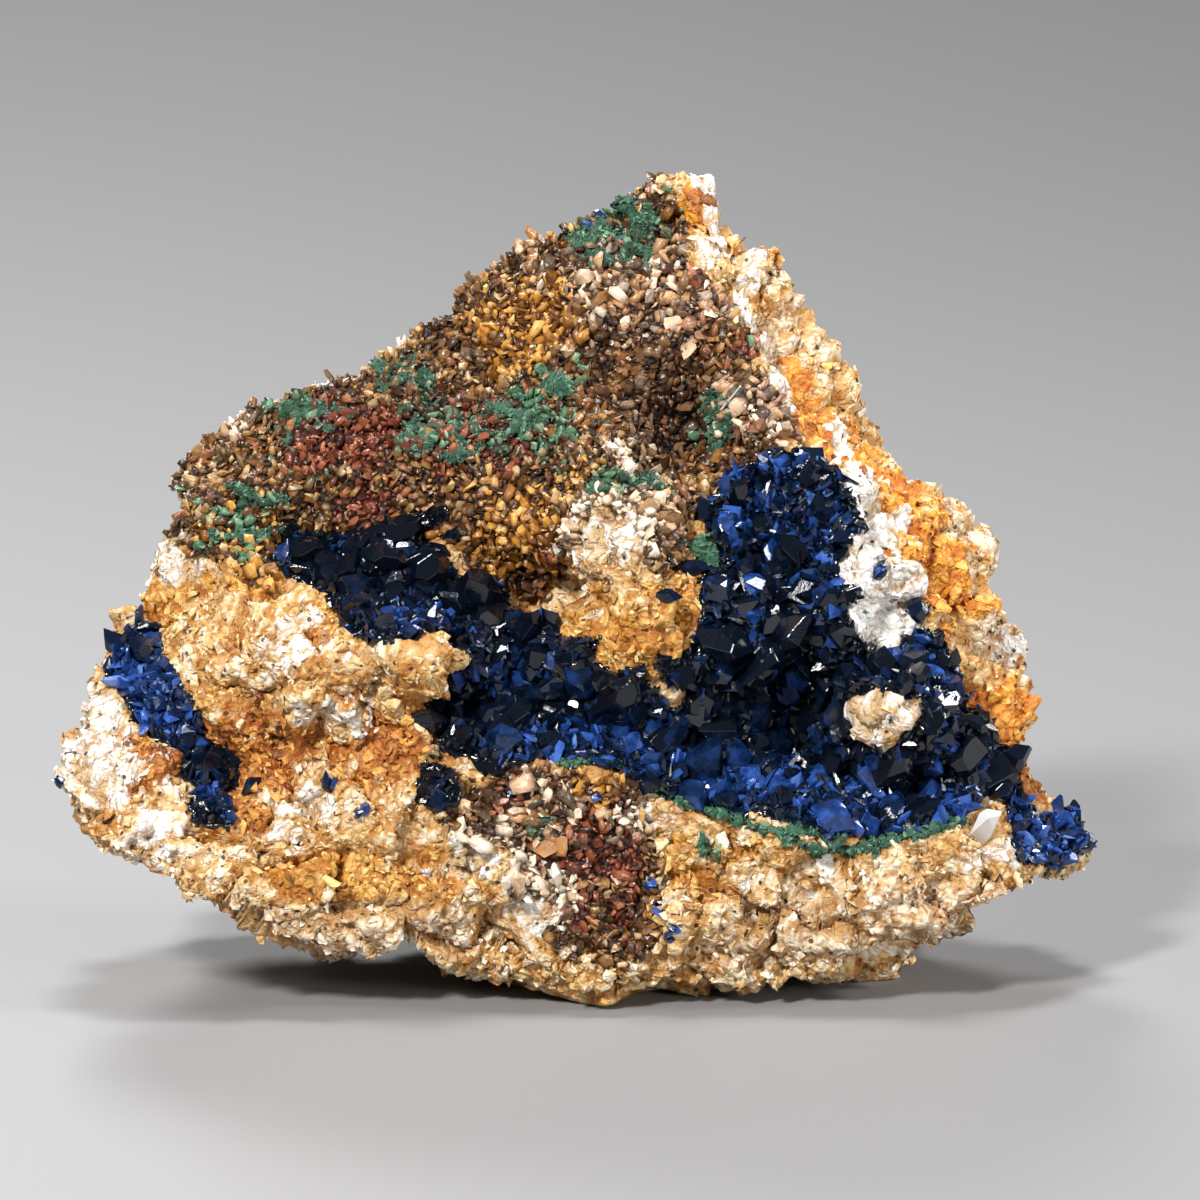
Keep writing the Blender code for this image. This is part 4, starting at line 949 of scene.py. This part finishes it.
def sheet_over(name, gap, reach, lift, thickness, ragged):
    """A skin on the stone where a gap is within reach: lifted off it, lumpy and closed underneath."""
    mesh = stone_piece.data
    points = places_of(mesh)
    covers = gap + ragged * grain_of(points, 1.8, 31) < reach
    shape = bmesh.new()
    shape.from_mesh(mesh)
    shape.verts.ensure_lookup_table()
    bare = [face for face in shape.faces if not all(covers[vert.index] for vert in face.verts)]
    bmesh.ops.delete(shape, geom=bare, context="FACES")
    shape.normal_update()
    for vert in shape.verts:
        vert.co += vert.normal * (lift * MM)
    edge = [vert.co.copy() for vert in shape.verts if vert.is_boundary]
    tree = KDTree(len(edge))
    for index, place in enumerate(edge):
        tree.insert(place, index)
    tree.balance()
    inland = np.array([tree.find(vert.co)[2] / MM for vert in shape.verts])
    made = piece_from(shape, name)
    store(made.data, "inland", inland)
    points = places_of(made.data)
    lumps = lumps_of(points, 1.5, 33)
    move(made.data, points + normals_of(made.data) * (0.6 * (lumps - 0.4) * MM)[:, None])
    backed = made.modifiers.new("backed", "SOLIDIFY")
    backed.thickness, backed.offset = thickness * MM, -1.0
    return made_plain(made, name)


front_tree = BVHTree.FromPolygons(
    [Vector(p) for p in places_of(stone_piece.data)], [tuple(p.vertices) for p in stone_piece.data.polygons],
)


def stone_at(u, v):
    """Where the stone's front is at a place of the face."""
    return front_tree.ray_cast(on_face(u, v, -60.0), INWARD)[0]


def stood(shape, size, axis, roll, base):
    """A unit shape scaled to its width, breadth and length and stood on base along its axis."""
    along = on_face(axis[0], axis[1], -axis[2]) - on_face(0, 0, 0)
    turn = along.to_track_quat("Z", "Y").to_matrix().to_4x4() @ Matrix.Rotation(math.radians(roll), 4, "Z")
    shape.transform(Matrix.Translation(base) @ turn @ Matrix.Diagonal((*(Vector(size) * MM), 1.0)))
    return shape


def joined(name, shapes):
    """Several bmeshes as one object, with each one's own tone and its points' places in the unit shape."""
    whole, tones, owns = bmesh.new(), [], []
    for tone, own, shape in shapes:
        mesh = bpy.data.meshes.new("part")
        shape.to_mesh(mesh)
        shape.free()
        whole.from_mesh(mesh)
        tones += [tone] * len(mesh.vertices)
        owns += own
        bpy.data.meshes.remove(mesh)
    made = piece_from(whole, name)
    store(made.data, "tone", np.array(tones))
    store(made.data, "own_place", np.array(owns))
    return made


def large_azurite():
    """The vein's large crystals, each a stack of two to four that grew nearly side by side."""
    chance = random.Random(5)
    shapes = []
    for u, v, width, breadth, length, axis, roll in LARGE_CRYSTALS:
        tone = chance.uniform(0.0, 0.5)
        for number in range(chance.choice((2, 3, 3, 4))):
            share = 1.0 if number == 0 else chance.uniform(0.45, 0.8)
            away = 0.0 if number == 0 else 0.42
            place = stone_at(
                u + away * width * chance.uniform(-1, 1), v + away * breadth * chance.uniform(-1, 1),
            )
            aim = Vector(axis).normalized() + Vector([chance.uniform(-1, 1) for _ in range(3)]) * (0.3 * away)
            shape = azurite_habit(chance)
            bmesh.ops.bevel(shape, geom=shape.edges, offset=0.014, segments=1, affect="EDGES")
            own = [tuple(vert.co + Vector((len(shapes), 0, 0))) for vert in shape.verts]
            size = Vector((width, breadth, length * 0.95)) * share
            stood(shape, size, aim, roll + chance.uniform(-12, 12) * number, place)
            shapes.append((tone + chance.uniform(-0.1, 0.1), own, shape))
    made = joined("azurite_large_crystals", shapes)
    store(made.data, "bright", bright_at(places_of(made.data)) * LARGE_BRIGHT)
    return made


KEPT_CLEAR = [(49.3, 21.3, 1.8, 3.0, 0, 3.0), (46.5, 27.0, 1.5, 2.5, 30, 3.0)]  # stone bare beside the tail
vein_gap = np.min([growth_gaps[node] for node in AZURITE_NODES], axis=0)
stone_u, stone_v, stone_d = face_places(places_of(stone_piece.data))
stone_facing = facing_of(normals_of(stone_piece.data))
vein_gap += np.max([in_oval(stone_u, stone_v, oval) for oval in KEPT_CLEAR], axis=0)
vein_sheet = sheet_over("azurite_bed", vein_gap, reach=0.75, lift=0.35, thickness=1.0, ragged=0.15)
bed = vein_sheet.data
bright, inland, facing = bright_at(places_of(bed)), values_of(bed, "inland"), facing_of(normals_of(bed))
store(bed, "bright", bright)
store(bed, "tone", 0.2)
bright = np.minimum(bright, 1)
small_ones = soft_step(facing, -0.3, 0.0) * (0.5 + 0.5 * bright) * soft_step(inland, 0.1, 0.5)
middle_ones = soft_step(facing, -0.1, 0.2) * (1 - 0.7 * bright) * soft_step(inland, 0.9, 1.7)
store(bed, "grows", small_ones)
store(bed, "grows_middle", middle_ones)
dark_azurite = azurite_material("azurite_glassy", rough=0.06, zoned=0.14, uneven=0.15, blue=0.20)
blue_azurite = azurite_material("azurite_small", rough=0.10, zoned=0.06, uneven=0.3, blue=0.34)
finish_in(vein_sheet, blue_azurite)
large_crystals = large_azurite()
finish_in(large_crystals, dark_azurite)
chance = random.Random(21)
stubs = shape_collection("azurite_stubs", [azurite_habit(chance, small=True) for _ in range(8)])
for shape in stubs.objects:
    shape.data.transform(Matrix.Diagonal((1.0, 0.5, 1.35, 1.0)))
small_crystals = grown(
    "azurite_small_crystals", vein_sheet, stubs, blue_azurite, "grows",
    sizes=(0.65, 1.7), spacing=0.43, tilt=50, seed=4,
)
blocks = shape_collection("azurite_blocks", [azurite_habit(chance) for _ in range(8)])
middle_crystals = grown(
    "azurite_middle_crystals", vein_sheet, blocks, dark_azurite, "grows_middle",
    sizes=(1.7, 3.6), spacing=1.6, tilt=30, seed=5,
)
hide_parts(*AZURITE_NODES)
for piece in (vein_sheet, large_crystals, small_crystals, middle_crystals):
    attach(piece, "root")

# ---- Malachite ----------------------------------------------------------------------------------
# Malachite coats the stone in green patches: a thin velvety crust of fine fibres, lumpy like moss.
RIM = [
    (-1.5, 23), (2.5, 23.6), (6, 22.4), (9, 20.4), (12, 18.6), (15, 17.8), (18, 16.8), (21, 15.8),
    (25, 14.4), (29, 14), (33, 15), (37, 16), (40.5, 17.2),
]  # the thin green line under the vein
LINE_DEPTH, NO_LINE = 15, 9.0  # how far back green lines reach, and a distance past them, in mm
MALACHITE_NODES = [name for name in frame["nodes"] if name.startswith("malachite")]


def malachite_material():
    """Velvety green, with painted shade in the roots of its lumps."""
    material, tree, shader = new_material("malachite_crust", 0.75)
    places = tree.nodes.new("ShaderNodeTexCoord").outputs["Object"]
    fibres, cloud = speckle(tree, places, 0.25, 4, 0.7), speckle(tree, places, 2.5, 3, 0.6)
    shade = weighted(tree, (fibres, 0.35), (cloud, 0.35), (read(tree, "tone"), 0.3))
    colour = ramp(
        tree, shade, (0.25, (0.008, 0.036, 0.022)), (0.48, (0.042, 0.135, 0.080)), (0.72, (0.20, 0.36, 0.24)),
    )
    # Painted shade: nearly black green at the roots of the lumps.
    root = step(tree, read(tree, "rise"), 0.0, 0.6, 0.7, 0.0)
    tree.links.new(over(tree, root, colour, (0.012, 0.03, 0.018, 1)), shader.inputs["Base Color"])
    bumps(tree, shader, 0.6, 0.15, fibres)
    return material


malachite_finish = malachite_material()
crust_lumps = shape_collection("malachite_lumps", [stubby_crystal(chance) for _ in range(6)])
for shape in crust_lumps.objects:
    shape.data.transform(Matrix.Diagonal((1.0, 0.55, 0.55, 1.0)))


def gap_to_line(points):
    """Distance in mm across the face from each point of the stone's front to a line of face places."""
    nearest = np.full(len(stone_u), NO_LINE)
    for (u0, v0), (u1, v1) in zip(points, points[1:]):
        run = max((u1 - u0) ** 2 + (v1 - v0) ** 2, 1e-9)
        along = np.clip(((stone_u - u0) * (u1 - u0) + (stone_v - v0) * (v1 - v0)) / run, 0, 1)
        gap = np.hypot(stone_u - u0 - along * (u1 - u0), stone_v - v0 - along * (v1 - v0))
        nearest = np.minimum(nearest, gap)
    return np.where((stone_d < LINE_DEPTH) & (stone_facing > 0.1), nearest, NO_LINE)


# Thin green lines and specks apart from the crusts: (half width in mm, points of the line).
GREEN_LINES = [
    (0.55, RIM),
    (1.3, [(13.2, 45.8), (14.2, 44.4)]),
    (0.8, [(1.5, 51.5), (4, 52.5), (7, 52.6), (9.5, 51.8)]),
    (0.7, [(-38, 47), (-34.5, 46.5), (-31.5, 47.5)]),
    (0.6, [(-36, 52), (-33, 50.5), (-30.5, 51)]),
    (0.6, [(13, 15.5), (13.2, 14)]),
    (0.5, [(-4, 17), (-2.5, 17.2)]),
]
line_gap = np.min([gap_to_line(points) / width for width, points in GREEN_LINES], axis=0)
crusts = [(f"{node}_crust", growth_gaps[node] - 0.65, 1.3, node) for node in MALACHITE_NODES]
crusts.append(("malachite_lines", line_gap - 1.0, 0.5, None))
for number, (name, gap, ragged, node) in enumerate(crusts):
    crust = sheet_over(name, gap, reach=0.0, lift=0.6, thickness=0.6, ragged=ragged)
    store(crust.data, "tone", 0.4)
    store(crust.data, "rise", 0.6)
    store(crust.data, "grows", soft_step(facing_of(normals_of(crust.data)), -0.5, 0.0))
    finish_in(crust, malachite_finish)
    lumps = grown(
        f"{name}_lumps", crust, crust_lumps, malachite_finish, "grows",
        sizes=(0.35, 0.95), spacing=0.34, tilt=45, seed=10 + number,
    )
    if node:
        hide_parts(node)
    for piece in (crust, lumps):
        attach(piece, "root")

# ---- Single crystals ----------------------------------------------------------------------------
# A few azurite crystals stand alone on the stone, and one clear quartz crystal beside the vein.
SINGLES = {
    "azurite_crystal_flat": (12.2, 43.2, 3.6, 1.9, 1.4, (-0.1, 0.5, 1.0), 5.0),
    "azurite_crystal_block": (9.7, 40.5, 2.4, 1.5, 1.3, (0.0, 0.1, 1.0), -5.0),
    "azurite_crystal_high": (-12.8, 47.0, 1.7, 1.5, 1.4, (0.1, 0.4, 1.0), 20.0),
    "azurite_crystal_mid": (-33.7, 20.8, 2.0, 1.5, 1.3, (0.2, 0.3, 1.0), 35.0),
    "azurite_crystal_rib": (36.0, 39.0, 1.8, 2.9, 1.7, (-0.3, 0.1, 1.0), 12.0),
    "quartz_crystal": (42.6, 16.0, 2.6, 2.0, 4.2, (0.30, 0.75, 0.75), 20.0),
}
clear_quartz, _, shader = new_material("clear_quartz", 0.12, (0.95, 0.96, 0.97))
shader.inputs["IOR"].default_value = 1.54
shader.inputs["Transmission Weight"].default_value = 0.4
for name, (u, v, width, breadth, length, axis, roll) in SINGLES.items():
    shape = azurite_habit(chance)
    own = [tuple(vert.co) for vert in shape.verts]
    stood(shape, (width, breadth, length), axis, roll, stone_at(u, v))
    single = joined(f"{name}_cut", [(0.5, own, shape)])
    store(single.data, "bright", 0.7)
    finish_in(single, clear_quartz if name.startswith("quartz") else dark_azurite)
    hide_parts(name)
    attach(single, "root")

# ---- Flecks and needle --------------------------------------------------------------------------
# Tiny azurite crystals sit about the stone in twos and threes, and one white needle lies near the
# vein's top.
FLECKS = [
    (-22.1, 17.8), (1.8, 80.4), (8.4, 8.0), (10.0, 5.4), (1.6, 20.1), (31.6, 43.3), (-46.1, 41.2),
    (-54.0, 20.7), (-6.5, 20.5), (7.6, 10.5), (-25.5, 21.0),
]
chance = random.Random(31)
flecks = []
for u, v in FLECKS:
    for _ in range(4):
        size = chance.uniform(0.6, 1.3)
        place = stone_at(u + chance.uniform(-0.7, 0.7), v + chance.uniform(-0.6, 0.6))
        if place is None:
            continue
        shape = azurite_habit(chance, small=True)
        own = [tuple(vert.co) for vert in shape.verts]
        axis = (chance.uniform(-0.6, 0.6), chance.uniform(-0.6, 0.6), 1.0)
        stood(shape, (size, size * 0.7, size * 1.1), axis, chance.uniform(0, 180), place)
        flecks.append((chance.uniform(0.3, 1.0), own, shape))
flecks = joined("azurite_flecks", flecks)
store(flecks.data, "bright", 0.8)
finish_in(flecks, blue_azurite)
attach(flecks, "root")

NEEDLE = ((14.6, 59.2, -1.5), (17.3, 62.5, -2.6), 0.16)  # its two ends, out from the stone, and its radius
ends = [stone_at(u, v) + INWARD * (out * MM) for u, v, out in NEEDLE[:2]]
shape = bmesh.new()
bmesh.ops.create_cone(
    shape, cap_ends=True, segments=6, radius1=NEEDLE[2] * MM, radius2=0.5 * NEEDLE[2] * MM,
    depth=(ends[1] - ends[0]).length,
)
aim = (ends[1] - ends[0]).to_track_quat("Z", "Y").to_matrix().to_4x4()
shape.transform(Matrix.Translation((ends[0] + ends[1]) / 2) @ aim)
needle = piece_from(shape, "white_needle")
finish_in(needle, new_material("white_needle", 0.25, (0.85, 0.80, 0.72))[0])
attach(needle, "root")

# ---- Stone halves -------------------------------------------------------------------------------
# The stone's skin is too fine for one piece, so it is cut into the crystal face and the back, where
# the two come out about as heavy. Everything above grew on the whole skin, so it is cut last.
SPLIT_DEPTH = 3.5  # how far behind the crystal face's own plane the cut lies, in mm


def half_of(whole, name, keep_front):
    """The faces of the stone on one side of a plane behind the crystal face."""
    depth = face_places(places_of(whole.data))[2]
    shape = bmesh.new()
    shape.from_mesh(whole.data)
    other = [
        face for face in shape.faces
        if (sum(depth[vert.index] for vert in face.verts) / len(face.verts) < SPLIT_DEPTH) != keep_front
    ]
    bmesh.ops.delete(shape, geom=other, context="FACES")
    half = piece_from(shape, name)
    half.data.materials.append(whole.data.materials[0])
    return half


for piece in (half_of(stone_piece, "stone_face", True), half_of(stone_piece, "stone_back", False)):
    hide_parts("matrix_rock")
    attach(piece, "root")
bpy.data.objects.remove(stone_piece)

# ---- Studio -------------------------------------------------------------------------------------
# A plain pale floor, a large soft light from the upper left, and weaker ones that fill and rim.
FLOOR_SIZE = 8.0
LIT_PLACE = (0, 0, 0.04)  # where every light points
SURROUNDINGS, SURROUNDING_LIGHT = (0.6, 0.61, 0.63, 1), 0.16  # the world's colour and strength
LIGHTS = {
    # name: (place in metres, size in metres, watts, colour)
    "key": ((-0.48, -0.90, 0.80), 0.17, 20.5, (1.0, 0.98, 0.95)),
    "fill": ((0.70, -0.75, 0.25), 0.20, 3.5, (0.96, 0.98, 1.0)),
    "top": ((-0.05, 0.10, 0.75), 0.16, 4.0, (1.0, 1.0, 1.0)),
    "right": ((0.60, -0.10, 0.30), 0.12, 2.5, (1.0, 0.98, 0.96)),
    "back": ((-0.25, 1.20, 0.75), 0.35, 7.0, (1.0, 1.0, 1.0)),
}
bpy.context.scene.view_settings.view_transform = "Standard"
bpy.ops.mesh.primitive_plane_add(size=FLOOR_SIZE)
floor = bpy.context.object
floor.name = "floor"
finish_in(floor, new_material("floor_paint", 0.6, (0.27, 0.27, 0.275))[0])
for name, (place, size, watts, colour) in LIGHTS.items():
    lamp = bpy.data.lights.new(name, "AREA")
    lamp.shape, lamp.size, lamp.energy, lamp.color = "SQUARE", size, watts, colour
    light = bpy.data.objects.new(name, lamp)
    light.location = place
    light.rotation_euler = (Vector(LIT_PLACE) - Vector(place)).to_track_quat("-Z", "Y").to_euler()
    bpy.context.scene.collection.objects.link(light)
world = bpy.data.worlds.new("studio")
world.use_nodes = True
background = world.node_tree.nodes["Background"].inputs
background["Color"].default_value, background["Strength"].default_value = SURROUNDINGS, SURROUNDING_LIGHT
bpy.context.scene.world = world
